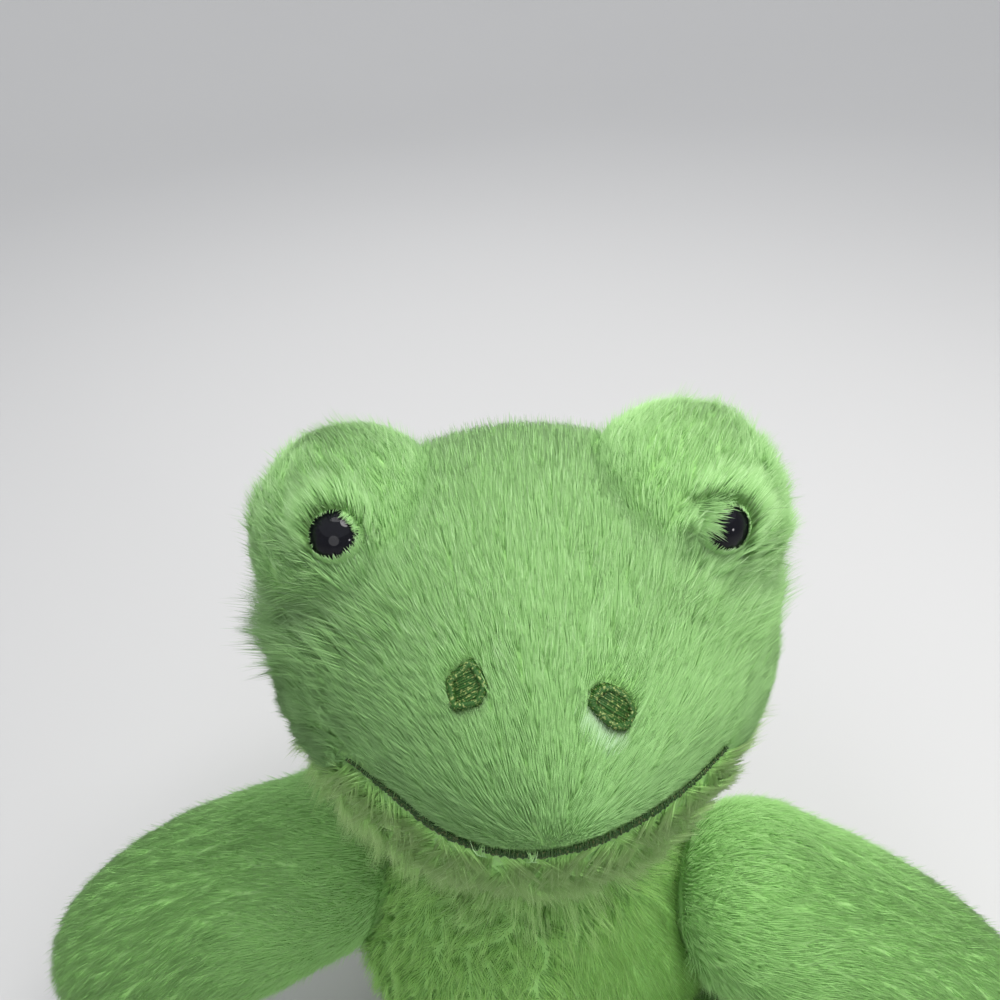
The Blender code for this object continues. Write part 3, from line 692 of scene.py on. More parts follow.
def comb(points, normals, flow, pile, sizes_of_locks, salt):
    """Paths of strands that leave the surface, lie over along the flow, and gather into locks.

    pile holds arrays or numbers: length, rise and tip_rise in radians, bow for the form's radius,
    swirl for how far a lock turns off the flow, and pull for how tightly it gathers.
    sizes_of_locks is (lock's size, stretch, wisp's size). Returns paths, across directions and shade.
    """
    flow = unit_vectors(flow - normals * (flow * normals).sum(-1, keepdims=True))
    lock_size, stretch, wisp_size = sizes_of_locks
    middle, label = nearest_lock(points, flow, lock_size, stretch, salt)
    wisp, wisp_label = nearest_lock(points, flow, wisp_size, stretch, salt + 20)
    wander = (label - 0.5) * 2 + 0.5 * (wisp_label - 0.5) + 0.7 * drift(points, 0.012, salt + 3)
    turn = pile["swirl"] * wander
    side = np.cross(normals, flow)
    flow = flow * np.cos(turn)[:, None] + side * np.sin(turn)[:, None]
    side = np.cross(normals, flow)
    own = hashed(points * 9173.0, salt + 5)
    rough = pile["rough"]
    length = pile["length"] * (1 + 0.3 * rough * (label - 0.5) + 0.3 * (own - 0.5))
    length = length * pile.get("reach", 1.0)
    uneven = 1 + 0.6 * rough * (hashed(middle * 3001.0, salt + 9) - 0.5)
    lift = pile["rise"] * uneven + 0.08 * (own - 0.5)
    tip_lift = pile["tip_rise"] * (0.6 + 0.8 * wisp_label)
    to_lock = ((middle - points) * side).sum(-1)
    to_wisp = ((wisp - points) * side).sum(-1)
    gather = pile["pull"] * (0.4 + 3 * hashed(middle * 1907.0, salt + 13) ** 7)
    shift = gather * np.clip(to_lock, -lock_size, lock_size)
    shift = shift + pile["wisp_pull"] * np.clip(to_wisp, -wisp_size, wisp_size)
    shares = np.array(pile["shares"])[None, :]
    along = (length * np.cos(lift))[:, None] * shares
    up = length[:, None] * (lift[:, None] * shares - (lift - tip_lift)[:, None] * shares**2 / 2)
    up = up - along**2 / (2 * pile["bow"]) - 0.0003
    sideways = shift[:, None] * shares**1.4
    path = (
        points[:, None]
        + flow[:, None] * along[..., None]
        + normals[:, None] * up[..., None]
        + side[:, None] * sideways[..., None]
    )
    shade = 0.5 + 0.12 * (label - 0.5) + 0.16 * (wisp_label - 0.5) + 0.32 * (own - 0.5)
    shade = shade + 0.14 * drift(points, 0.02, salt + 11)
    # The strands whose own number is above 0.93 take the top shade, a painted glint; the others stay below it
    return path, side, np.where(own > 0.93, 0.97, np.minimum(shade, 0.86))


def new_finish(name, **constants):
    """A Principled material, its nodes, its links and its shader, with the shader's constants set."""
    material = bpy.data.materials.new(name)
    material.use_nodes = True
    nodes, links = material.node_tree.nodes, material.node_tree.links
    shader = nodes["Principled BSDF"]
    for socket, value in constants.items():
        shader.inputs[SHADER_SOCKETS[socket]].default_value = value
    return material, nodes, links, shader


def grain(nodes, links, scale, detail=2):
    """Noise on the piece's own coordinates."""
    place = nodes.new("ShaderNodeTexCoord")
    noise = nodes.new("ShaderNodeTexNoise")
    noise.inputs["Scale"].default_value = scale
    noise.inputs["Detail"].default_value = detail
    links.new(place.outputs["Object"], noise.inputs["Vector"])
    return noise.outputs["Fac"]


def ramp(nodes, links, source, low, high, between=()):
    """Colours between two stops, each a place and a colour, with any further stops between them."""
    node = nodes.new("ShaderNodeValToRGB")
    stops = node.color_ramp.elements
    for stop, (place, tint) in zip(stops, (low, high)):
        stop.position = place
        stop.color = (*tint, 1)
    for place, tint in between:
        stops.new(place).color = (*tint, 1)
    links.new(source, node.inputs["Fac"])
    return node.outputs["Color"]


def bumped(nodes, links, shader, height, strength, distance):
    """Height on the surface as bump."""
    bump = nodes.new("ShaderNodeBump")
    bump.inputs["Strength"].default_value = strength
    bump.inputs["Distance"].default_value = distance
    links.new(height, bump.inputs["Height"])
    links.new(bump.outputs["Normal"], shader.inputs["Normal"])


def plush_ground(name, colour, root):
    """The knitted ground under the pile, darkened as painted shade in the gaps between strands: mottled by
    two noises and bumped by the finer one.
    """
    material, nodes, links, shader = new_finish(name, roughness=0.85, specular=0.1)
    fine = grain(nodes, links, 900, 3)
    blend = nodes.new("ShaderNodeMath")
    blend.operation = "MULTIPLY"
    links.new(fine, blend.inputs[0])
    links.new(grain(nodes, links, 90), blend.inputs[1])
    # Painted shade: the ground takes a darker copy of the pile's colour
    shaded = [GROUND_PAINTED_SHADE * part for part in colour]
    tint = ramp(nodes, links, blend.outputs["Value"], (0.12, root), (0.42, shaded))
    links.new(tint, shader.inputs["Base Color"])
    bumped(nodes, links, shader, fine, 0.6, 0.0006)
    return material


def pile_finish(name, root, body, tip):
    """Strands that are deep green at the root, a painted shade deep in the pile, and bright at the tip, each
    with a shade of its own.
    """
    material, nodes, links, shader = new_finish(name, roughness=0.6, specular=0.2)
    spot = nodes.new("ShaderNodeUVMap")
    spot.uv_map = "OFBake"
    split = nodes.new("ShaderNodeSeparateXYZ")
    links.new(spot.outputs["UV"], split.inputs["Vector"])
    mix = nodes.new("ShaderNodeMix")
    mix.data_type = "RGBA"
    mix.blend_type = "MULTIPLY"
    mix.inputs["Factor"].default_value = 1.0
    along = ramp(nodes, links, split.outputs["Y"], (0.0, root), (1.0, tip), [(0.45, body)])
    # The brightest stop is a painted glint
    darkest, plain, brightest = (0.0, STRAND_DARK), (0.88, STRAND_PLAIN), (0.94, STRAND_GLINT)
    own = ramp(nodes, links, split.outputs["X"], darkest, plain, [brightest])
    links.new(along, mix.inputs["A"])
    links.new(own, mix.inputs["B"])
    links.new(mix.outputs["Result"], shader.inputs["Base Color"])
    return material


def grow_pile(name, strands, material, body, slot="fur", mask=slice(None)):
    """Puts the strands that the mask keeps in one piece.

    strands holds each strand's path, the two directions across it, its width and its shade.
    """
    mesh = strand_mesh(name, *(values[mask] for values in strands))
    put_piece(name, mesh, material, body)


def head_tints(colours):
    """The colours of the head's strands at the middle and at the tip."""
    return [np.multiply(tint, HEAD_TINT) for tint in (colours.fur, colours.fur_tip)]


def eye_place(side, sizes):
    """The eye's seat and the way that it looks, in the neck's tilted frame."""
    lift, outward = EYE_RAISE[side], EYE_OUTWARD[side]
    flat = math.cos(lift)
    look = np.array([side * math.sin(outward) * flat, -math.cos(outward) * flat, math.sin(lift)])
    surface = mound_middle(side, sizes) + look * mound_half(sizes)
    return surface - look * EYE_SINK, look


def held_back(local, flow, length, shares):
    """How much of its length a strand keeps so that it ends at a nostril's edge, from 0 to 1.

    Places along the strand are tried in turn, and the first one inside a patch ends it.
    """
    reach = np.ones(len(local))
    face = local - HEAD_MIDDLE
    for corners in NOSTRIL_CORNERS.values():
        corners = np.array(corners)
        for share in shares[::-1]:
            aside = face[:, 0] + flow[:, 0] * length * share
            up = face[:, 2] + flow[:, 2] * length * share
            inside = (patch_share(aside, up, corners) < 0.93) & (face[:, 1] < 0)
            reach = np.where(inside, np.minimum(reach, share), reach)
    return reach


def head_density(points):
    """More roots on the face than behind it, and most along the mouth."""
    local = to_head(points) - HEAD_MIDDLE
    seam = np.abs(local[..., 2] - mouth_height(local[..., 0]))
    dense = 0.84 + 0.8 * (1 - eased(seam, 0.001, 0.004))
    return 0.16 + dense * (1 - eased(local[..., 1], -0.008, 0.012))


def head_roots(sizes, count):
    """Roots clear of neck, mounds, nostrils and mouth: their places, their normals and their local places."""
    points, normals = scatter(lambda unit: head_shape(unit, sizes), count, head_density)
    local = to_head(points)
    face = local - HEAD_MIDDLE
    behind = face[:, 1] >= FACE_START
    keep = np.linalg.norm(points - JOINTS["neck_nod"], axis=-1) > NECK_RADIUS + 0.001
    for side in SIDES.values():
        keep &= depth_in_egg(local, mound_middle(side, sizes), mound_half(sizes)) > 1.0
    for corners in NOSTRIL_CORNERS.values():
        keep &= (patch_share(face[:, 0], face[:, 2], np.array(corners)) > 0.97) | behind
    off_line = np.abs(face[:, 2] - mouth_height(face[:, 0])) > 0.0007
    keep &= off_line | behind | (np.abs(face[:, 0]) >= MOUTH_REACH)
    return points[keep], normals[keep], local[keep]


def near_nostrils(face, ahead):
    """1 at a nostril's edge, eased to 0 at half as far again from its middle."""
    near = np.zeros(len(face))
    for corners in NOSTRIL_CORNERS.values():
        off = patch_share(face[:, 0], face[:, 2], np.array(corners))
        near = np.maximum(near, (1 - eased(off, 1.0, 1.5)) * ahead)
    return near


def under_mounds(local, ahead, sizes):
    """Up to 1 on the face just below an eye mound."""
    below = np.zeros(len(local))
    for side in SIDES.values():
        middle = mound_middle(side, sizes)
        near = 1 - eased(depth_in_egg(local, middle, mound_half(sizes)), 1.15, 1.5)
        low = eased((middle - local)[:, 2] / sizes.mound_height, -0.12, 0.1)
        low = low * eased(side * (local - middle)[:, 0], -0.0135, -0.0095 if side < 0 else -0.003)
        below = np.maximum(below, near * low * ahead)
    return below


def head_combing(points, normals, local, chin, low, sizes, pile):
    """The flow of the head's pile and the options that comb it.

    It is short at the mouth and the nostrils, long below the mounds, curly at the cheeks' sides and
    ragged on the chin.
    """
    face = local - HEAD_MIDDLE
    ahead = face[:, 1] < FACE_START
    within = np.abs(face[:, 0]) < MOUTH_REACH
    outward = np.stack([face[:, 0] * 22, 0 * points[:, 0], -np.ones(len(points))], -1)
    flow = unit_vectors(np.where(chin[:, None], outward, head_flow(local, sizes)))
    curl = eased(-face[:, 0] - 0.3 * face[:, 2], 0.020, 0.036)
    curl = curl + 0.5 * eased(face[:, 0] - 0.3 * face[:, 2], 0.034, 0.046)
    off_line = np.abs(face[:, 2] - mouth_height(face[:, 0]))
    seam = (1 - eased(off_line, 0.0005, 0.0045)) * ahead * within * ~chin
    patch = near_nostrils(face, ahead)
    below = under_mounds(local, ahead, sizes)
    hang = chin * eased(-normals[:, 2], 0.05, 0.6)
    slim = eased(-face[:, 2], 0.002, 0.014) * (face[:, 0] < 0) * ~chin * curl
    length = pile.face_length * (1 - 0.1 * curl + 0.75 * below - 0.62 * seam - 0.3 * patch)
    length = length * (1 - 0.42 * slim)
    length = length * np.where(chin, 0.85 + 0.6 * hashed(points * 3407.0, 16), 1.0)
    stray = 0.55 * (hashed(points * 6007.0, 12) > 0.88) * ~chin
    drop = (seam > 0.3) & (hashed(points * 6011.0, 13) > 0.8)
    flow = np.where(drop[:, None], np.array([0.0, 0.0, -1.0]), flow)
    rise = 0.44 + 0.25 * curl + 0.3 * below + 0.3 * seam + 0.5 * patch + 0.25 * hang
    return flow, {
        "length": length,
        "reach": held_back(local, flow, length, REACH_SHARES),
        "rise": rise + stray * (1 - 0.7 * low) - 0.14 * low * ~chin - 0.25 * slim,
        "tip_rise": 0.14 + 0.3 * curl + 0.2 * below + 0.2 * seam + 0.3 * patch + 0.3 * hang,
        "bow": 0.045,
        "swirl": 0.15 + 0.95 * curl + 0.85 * chin,
        "pull": 0.05 + 0.55 * curl + 0.5 * chin,
        "wisp_pull": 0.05 + 0.35 * curl + 0.5 * chin,
        "rough": 0.15 + 0.9 * curl + 1.3 * chin,
        "shares": (0.0, 1.0),
    }


def fringe_mask(points, path, ahead, chin):
    """The strands whose tips lie along the lower left edge of the right nostril."""
    corners = np.array(NOSTRIL_CORNERS["right"])
    tips = (to_head(path[:, -1]) - HEAD_MIDDLE)[:, [0, 2]]
    off = patch_share(tips[:, 0], tips[:, 1], corners)
    below_left = (tips - corners.mean(0)) @ (0.6, 0.8) < -0.0010
    return ahead & ~chin & below_left & (off + 0.5 * hashed(points * 3011.0, 9) < 1.5)


class FROG_OT_head(bpy.types.Operator):
    """Make the head's plush and its pile"""

    bl_idname = "frog.head"
    bl_label = "Head"

    def execute(self, context):
        sizes, pile, colours = settings(context)

        def shape(unit):
            return dished(head_shape(unit, sizes), JOINTS["neck_nod"], NECK_RADIUS + SEAM_GAP)

        ground = plush_ground("head plush", colours.fur, colours.fur_root)
        skin = put_piece("head_plush", closed_grid("head_plush", shape, 72, 96), ground, "head")
        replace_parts(skin, "head_skin", "head_stuffing")

        points, normals, local = head_roots(sizes, pile.face_count)
        face = local - HEAD_MIDDLE
        ahead = face[:, 1] < FACE_START
        lip = mouth_height(face[:, 0]) - 0.0004 - 0.010 * eased(np.abs(face[:, 0]), 0.029, 0.036)
        chin = ahead & (face[:, 2] < lip)
        low = (1 - eased(face[:, 2], -0.004, 0.022)) * ahead
        flow, options = head_combing(points, normals, local, chin, low, sizes, pile)
        path, across, shade = comb(points, normals, flow, options, HEAD_LOCKS, HEAD_SALT)
        for side in SIDES.values():
            path = over_mound(path, side, sizes)
            # Painted shade: the head's strands rooted in the crease by each mound take darker shades
            crease = depth_in_egg(local, mound_middle(side, sizes), mound_half(sizes))
            shade = shade * eased(crease, 1.01, 1.08)
        # Painted shade: the strands low on the face, outside the chin, take darker shades the lower they grow
        shade = np.maximum(0, shade - 0.42 * low * ~chin)
        width = pile.strand_width * (0.75 + 0.5 * hashed(points * 5011.0, 2))
        strands = (path, across, normals, width, shade)
        fringe = fringe_mask(points, path, ahead, chin)
        paler = pile_finish("nostril fringe", *FRINGE_TINTS)
        grow_pile("nostril_fringe", strands, paler, "head", mask=fringe)
        front = (face[:, 1] < -0.002) & ~fringe
        left, up = face[:, 0] < 0, face[:, 2] > 0.018
        parts = {
            "brow_left": ~chin & front & left & up,
            "brow_right": ~chin & front & ~left & up,
            "cheek_left": ~chin & front & left & ~up,
            "cheek_right": ~chin & front & ~left & ~up,
            "back": ~chin & ~front & ~fringe,
        }
        material = pile_finish("face pile", colours.fur_root, *head_tints(colours))
        for word, mask in parts.items():
            grow_pile("head_pile_" + word, strands, material, "head", mask=mask)
        pale = pile_finish("chin pile", colours.fur_root, colours.throat, colours.throat_tip)
        grow_pile("chin_pile", strands, pale, "head", mask=chin)
        return {"FINISHED"}


def fan_place(sizes):
    """Where the pile fans out from, below the middle of the mouth, in the neck's tilted frame."""
    return HEAD_MIDDLE + np.array(FAN_SHARES) * head_half(sizes)


def head_flow(local, sizes):
    """The way the head's pile lies: away from the mouth in front, and down at the back."""
    away = unit_vectors(local - fan_place(sizes))
    behind = eased(local[:, 1] - HEAD_MIDDLE[1], 0.0, 0.03)[:, None]
    return away * (1 - behind) + np.array([0.0, 0.2, -1.0]) * behind


def over_mound(path, side, sizes):
    """Strand stations that would be in an eye mound, moved out to just above its surface."""
    local = to_head(path)
    middle, half = mound_middle(side, sizes), mound_half(sizes)
    depth = depth_in_egg(local, middle, half)
    clear = 1 + 0.065 * np.linspace(0, 1, path.shape[1])[None]
    grown = middle + (local - middle) * (clear / np.maximum(depth, 0.3))[..., None]
    return np.where((depth < clear)[..., None], from_head(grown), path)


def over_dome(path, seat, look, sizes):
    """Strand stations that would be in the eye, moved out along its look to just above its dome."""
    local = to_head(path) - seat
    ahead = local @ look
    off = np.linalg.norm(local - ahead[..., None] * look, axis=-1) / (sizes.eye_radius + 0.0002)
    dome = sizes.eye_height * np.sqrt(np.clip(1 - off**2, 0, 1)) + 0.0004
    lift = np.where((off < 1) & (ahead > -0.003), np.maximum(0, dome - ahead), 0)
    return path + (lift[..., None] * look) @ HEAD_TURN.T


def mound_density(points, side, sizes):
    """Roots only outside the head, more in front, and most round the eye."""
    local = to_head(points) - HEAD_MIDDLE
    inside = depth_in_egg(local, 0, head_half(sizes)) < 0.95
    seat, _ = eye_place(side, sizes)
    by_eye = np.linalg.norm(local + HEAD_MIDDLE - seat, axis=-1) < sizes.eye_radius + 0.003
    return np.where(inside, 1e-6, 0.35 + 0.65 * (local[..., 1] < 0.006) + 3.0 * by_eye)


def mound_flow(local, middle, sizes):
    """The way a mound's pile lies: away from the mouth and outwards in front, and down at the back."""
    out = unit_vectors((local - middle) * (1, 0.3, 1))
    flow = unit_vectors(unit_vectors(local - fan_place(sizes)) + 0.45 * out)
    behind = eased(local[:, 1] - HEAD_MIDDLE[1], 0.004, 0.02)[:, None]
    return flow * (1 - behind) + np.array([0.0, 0.3, -1.0]) * behind


def lean_in(points, flat, ahead, look, flow, word, length, sizes):
    """Aims the strands by an eye: their flow, their reach as a share of the length, and two masks.

    Strands that would cross the eye stop a little past its rim. A clump over the upper left of the
    right eye and a hem round both lean in. flat is each root's place off the eye's line of sight
    and ahead its place along it. The masks are of the strands that touch the eye and of the clump.
    """
    side, radius = SIDES[word], sizes.eye_radius
    own = hashed(points * 4999.0, 8)
    off_eye = np.linalg.norm(flat, axis=-1)
    towards = (flat * flow).sum(-1)
    offset = (np.cross(flat, flow) @ look) / radius
    entry = -towards - radius * np.sqrt(np.clip(1 - offset**2, 0, 1))
    crossing = (np.abs(offset) < 1) & (towards < 0) & (entry < length * 1.4) & (ahead > -0.006)
    cover = RIM_COVER[word] * own * 2 * radius
    reach = np.where(crossing, np.clip((entry + cover) / length, 0.12, 2.6), 1.0)
    forward = ahead > FORWARD_START
    sideways = unit_vectors(np.cross((0, 0, 1), look))
    upward = np.cross(look, sideways)
    above = (flat @ upward) / radius
    clump = forward & (side > 0) & (above > 0.30) & (above < 0.90) & (flat @ sideways < 0)
    clump &= off_eye < radius + 0.0030
    slant = hashed(points * 2003.0, 6) * 0.6 - 0.35
    flow = unit_vectors(np.where(clump[:, None], sideways + slant[:, None] * upward, flow))
    past = 0.0055 * (0.3 + 0.7 * own)
    reach = np.where(clump, (off_eye - radius + past) / length, reach)
    inner = (flat @ sideways) > 0.45 * radius
    share_kept = 0.4 if side > 0 else np.where(inner, 0.45, 0.2)
    hem = forward & ~crossing & ~clump & (off_eye < radius + 0.0012)
    hem &= hashed(points * 2999.0, 14) < share_kept
    inward = -flat / off_eye[:, None] + (1.2 * own - 0.9)[:, None] * upward
    flow = unit_vectors(np.where(hem[:, None], inward, flow))
    past = np.where(inner & (side < 0), 0.0013, 0.0004) + 0.0012 * own
    reach = np.where(hem, (off_eye - radius + past) / length, reach)
    return flow, reach, crossing | clump | hem, clump


def grow_mound(word, shape, material, sizes, pile):
    """A mound's pile, and the strands that touch its eye in a piece of their own."""
    side = SIDES[word]
    middle = mound_middle(side, sizes)
    seat, look = eye_place(side, sizes)
    points, normals = scatter(shape, pile.mound_count, lambda places: mound_density(places, side, sizes))
    local = to_head(points)
    from_eye = local - seat
    flat = from_eye - (from_eye @ look)[:, None] * look
    off_eye = np.linalg.norm(flat, axis=-1)
    keep = depth_in_egg(local, HEAD_MIDDLE, head_half(sizes)) > 0.97
    keep &= (off_eye > sizes.eye_radius - 0.0006) | ((from_eye @ look) < -0.006)
    points, normals, local, flat = points[keep], normals[keep], local[keep], flat[keep]
    ahead, off_eye = from_eye[keep] @ look, off_eye[keep]
    length = pile.face_length
    flow = mound_flow(local, middle, sizes)
    flow, reach, touching, clump = lean_in(points, flat, ahead, look, flow, word, length, sizes)
    rim = eased(side * (local[:, 0] - middle[0]), 0.004, 0.014)
    beside = 1 - eased(off_eye, sizes.eye_radius + 0.0004, sizes.eye_radius + 0.0026)
    beside = beside * ~touching * (ahead > FORWARD_START)
    tuft = rim * eased(drift(points, 0.0045, 5 + side), -0.1, 0.5)
    stray = 0.6 * (hashed(points * 6007.0, 12) > 0.85)
    options = {
        "length": length * (1 - 0.25 * rim + 0.2 * tuft),
        "reach": reach,
        "rise": 0.42 + 0.05 * rim + 0.45 * beside + 0.25 * tuft + stray * ~touching,
        "tip_rise": 0.14 + 0.10 * rim + 0.4 * beside + 0.3 * tuft,
        "bow": 0.022,
        "swirl": np.where(touching, 0.16 + 0.3 * clump, 0.24 + 0.4 * rim),
        "pull": 0.12 + 0.3 * rim,
        "wisp_pull": 0.14 + 0.2 * rim,
        "rough": 0.45 + 0.5 * rim,
    }
    for part, mask, shares in (
        ("_pile", ~touching, (0.0, 1.0)),
        ("_lashes", touching, np.linspace(0, 1, 7)),
    ):
        own_options = {"shares": shares}
        for key, value in options.items():
            own_options[key] = value[mask] if np.ndim(value) else value
        roots = (points[mask], normals[mask], flow[mask])
        path, across, shade = comb(*roots, own_options, MOUND_LOCKS, MOUND_SALT + side)
        path = over_dome(path, seat, look, sizes)
        # Painted shade: the mound's strands rooted in the crease by the head take darker shades
        shade = shade * eased(depth_in_egg(local[mask], HEAD_MIDDLE, head_half(sizes)), 1.0, 1.035)
        width = pile.strand_width * (0.8 + 0.5 * hashed(points[mask] * 5011.0, 2))
        grow_pile("eye_mound_" + word + part, (path, across, normals[mask], width, shade), material, "head")


class FROG_OT_mounds(bpy.types.Operator):
    """Make both eye mounds' plush and pile"""

    bl_idname = "frog.mounds"
    bl_label = "Eye mounds"

    def execute(self, context):
        sizes, pile, colours = settings(context)
        ground = plush_ground("mound plush", colours.fur, colours.fur_root)
        material = pile_finish("mound pile", colours.fur_root, *head_tints(colours))
        for word, side in SIDES.items():

            def shape(unit, side=side):
                return mound_shape(unit, side, sizes)

            name = "eye_mound_" + word
            mesh = closed_grid(name + "_plush", shape, 40, 56)
            skin = put_piece(name + "_plush", mesh, ground, "head")
            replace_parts(skin, name + "_skin", name + "_stuffing")
            grow_mound(word, shape, material, sizes, pile)
        return {"FINISHED"}


class FROG_OT_torso(bpy.types.Operator):
    """Make the torso's plush and its pile"""

    bl_idname = "frog.torso"
    bl_label = "Torso"

    def execute(self, context):
        sizes, pile, colours = settings(context)
        seams = [(JOINTS["shoulder_" + word], sizes.arm_radius) for word in SIDES]
        seams += [(JOINTS["hip_" + word], sizes.leg_radius) for word in SIDES]

        def plain(unit):
            return torso_shape(unit, sizes)

        def shape(unit):
            points = plain(unit)
            for centre, radius in seams:
                points = dished(points, centre, radius + SEAM_GAP)
            points[..., 2] = np.maximum(points[..., 2], 0)
            return points

        ground = plush_ground("belly plush", colours.belly, colours.fur_root)
        mesh = closed_grid("torso_plush", shape, 96, 128)
        skin = put_piece("torso_plush", mesh, ground, "torso")
        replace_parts(skin, "torso_skin", "torso_stuffing")

        def weight(points):
            seen = 1 - eased(points[..., 1], -0.01, 0.01)
            return (0.35 + 0.65 * seen) * (points[..., 2] > ROOT_CLEAR / 2) + 1e-6

        points, normals = scatter(plain, pile.torso_count, weight)
        keep = points[:, 2] > ROOT_CLEAR
        for centre, radius in seams:
            keep &= np.linalg.norm(points - centre, axis=-1) > radius + 0.0015
        local = to_head(points)
        keep &= depth_in_egg(local, HEAD_MIDDLE, head_half(sizes)) > 0.96
        points, normals = points[keep], normals[keep]
        flow = np.stack([0.3 * normals[:, 0], 0 * points[:, 0], -np.ones(len(points))], -1)
        curl = eased(-points[:, 0], -0.012, 0.008) * eased(-points[:, 1], 0.0, 0.02)
        ruff = eased(points[:, 2], 0.070, 0.078)
        options = {
            "length": pile.body_length * (1 - 0.15 * curl + 0.4 * ruff * hashed(points * 3407.0, 16)),
            "rise": 0.46 + 0.35 * curl + 0.5 * ruff,
            "tip_rise": 0.12 + 0.5 * curl + 0.5 * ruff,
            "bow": 0.05,
            "swirl": 0.16 + 1.2 * curl + 0.8 * ruff,
            "pull": 0.06 + 0.55 * curl + 0.45 * ruff,
            "wisp_pull": 0.07 + 0.38 * curl + 0.4 * ruff,
            "rough": 0.2 + 1.0 * curl + 0.8 * ruff,
            "shares": (0.0, 1.0),
        }
        path, across, shade = comb(points, normals, flow, options, TORSO_LOCKS, TORSO_SALT)
        path[..., 2] = np.maximum(path[..., 2], FLOOR_CLEAR)
        width = pile.strand_width * (0.85 + 0.4 * hashed(points * 5011.0, 2))
        # Painted shade: the belly's strands are darker still at the root
        deep = [BELLY_ROOT_PAINTED_SHADE * part for part in colours.fur_root]
        belly = pile_finish("belly pile", deep, colours.belly, colours.belly_tip)
        throat = pile_finish("throat pile", colours.fur_root, colours.throat, colours.throat_tip)
        height = points[:, 2] + 0.010 * drift(points, 0.006, 71)
        upper = height + 0.006 * hashed(points * 4001.0, 15) > THROAT_START
        strands = (path, across, normals, width, shade)
        grow_pile("torso_pile", strands, belly, "torso", "belly_fur", ~upper)
        grow_pile("throat_pile", strands, throat, "torso", mask=upper)
        return {"FINISHED"}


class FROG_OT_arms(bpy.types.Operator):
    """Make both arms' plush and pile"""

    bl_idname = "frog.arms"
    bl_label = "Arms"

    def execute(self, context):
        _, pile, colours = settings(context)
        tints = [np.multiply(tint, ARM_TINT) for tint in (colours.fur, colours.fur_tip)]
        grow_limbs("arm", "shoulder_", arm_shape, arm_turn, pile.arm_count, tints, context)
        return {"FINISHED"}


def grow_limbs(kind, joint, form, turn, count, tints, context):
    """Both limbs of a kind, in one ground and one pile."""
    sizes, _, colours = settings(context)
    ground = plush_ground(kind + " plush", colours.fur, colours.fur_root)
    material = pile_finish(kind + " pile", colours.fur_root, *tints)
    for word in SIDES:

        def shape(unit, word=word):
            return form(unit, word, sizes)

        seam = (JOINTS[joint + word], turn(word)[:, 2])
        grow_limb(word, kind, shape, *seam, count, (ground, material), context)


def grow_limb(word, kind, shape, seat, along, count, finishes, context):
    """A limb's plush and its pile, which lies along the limb and drifts down."""
    sizes, pile, _ = settings(context)
    ground, material = finishes
    name = kind + "_" + word
    skin = put_piece(name + "_plush", closed_grid(name + "_plush", shape, 64, 64), ground, name)
    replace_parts(skin, name + "_skin", name + "_stuffing")

    def weight(points):
        return (0.4 + 0.6 * (points[..., 2] > seat[2] - 0.012)) * (points[..., 2] > ROOT_CLEAR / 2) + 1e-6

    points, normals = scatter(shape, count, weight)
    keep = (depth_in_torso(points, sizes) > 1.03) & (points[:, 2] > ROOT_CLEAR)
    points, normals = points[keep], normals[keep]
    near = 1 - eased((points - seat) @ along, 0.006, 0.036)
    flow = along + (1.15 * near - 0.35)[:, None] * np.array([0.0, 0.0, 1.0])
    end = eased((normals * along).sum(-1), 0.3, 0.9)[:, None]
    flow = flow * (1 - end) + np.array([0.0, 0.0, -1.0]) * end
    stray = 0.45 * (hashed(points * 6007.0, 12) > 0.9)
    curl = near * eased(seat[2] - points[:, 2], -0.006, 0.008) * (name == "arm_right")
    options = {
        "length": pile.body_length,
        "rise": 0.44 + 0.3 * curl + stray,
        "tip_rise": 0.12 + 0.3 * curl,
        "bow": 0.035,
        "swirl": 0.22 + 1.0 * curl,
        "pull": 0.10 + 0.5 * curl,
        "wisp_pull": 0.13 + 0.3 * curl,
        "rough": 0.45 + 0.5 * curl,
        "shares": (0.0, 1.0),
    }
    path, across, shade = comb(points, normals, flow, options, LIMB_LOCKS, LIMB_SALTS[word])
    # The limbs' strands stay below the painted glint shades
    shade = np.minimum(shade, 0.8)
    path[..., 2] = np.maximum(path[..., 2], FLOOR_CLEAR)
    width = pile.strand_width * (0.85 + 0.4 * hashed(points * 5011.0, 2))
    grow_pile(name + "_pile", (path, across, normals, width, shade), material, name)


class FROG_OT_legs(bpy.types.Operator):
    """Make both legs' plush and pile"""

    bl_idname = "frog.legs"
    bl_label = "Legs"

    def execute(self, context):
        _, pile, colours = settings(context)
        tints = (colours.fur, colours.fur_tip)
        grow_limbs("leg", "hip_", leg_shape, leg_turn, pile.leg_count, tints, context)
        return {"FINISHED"}


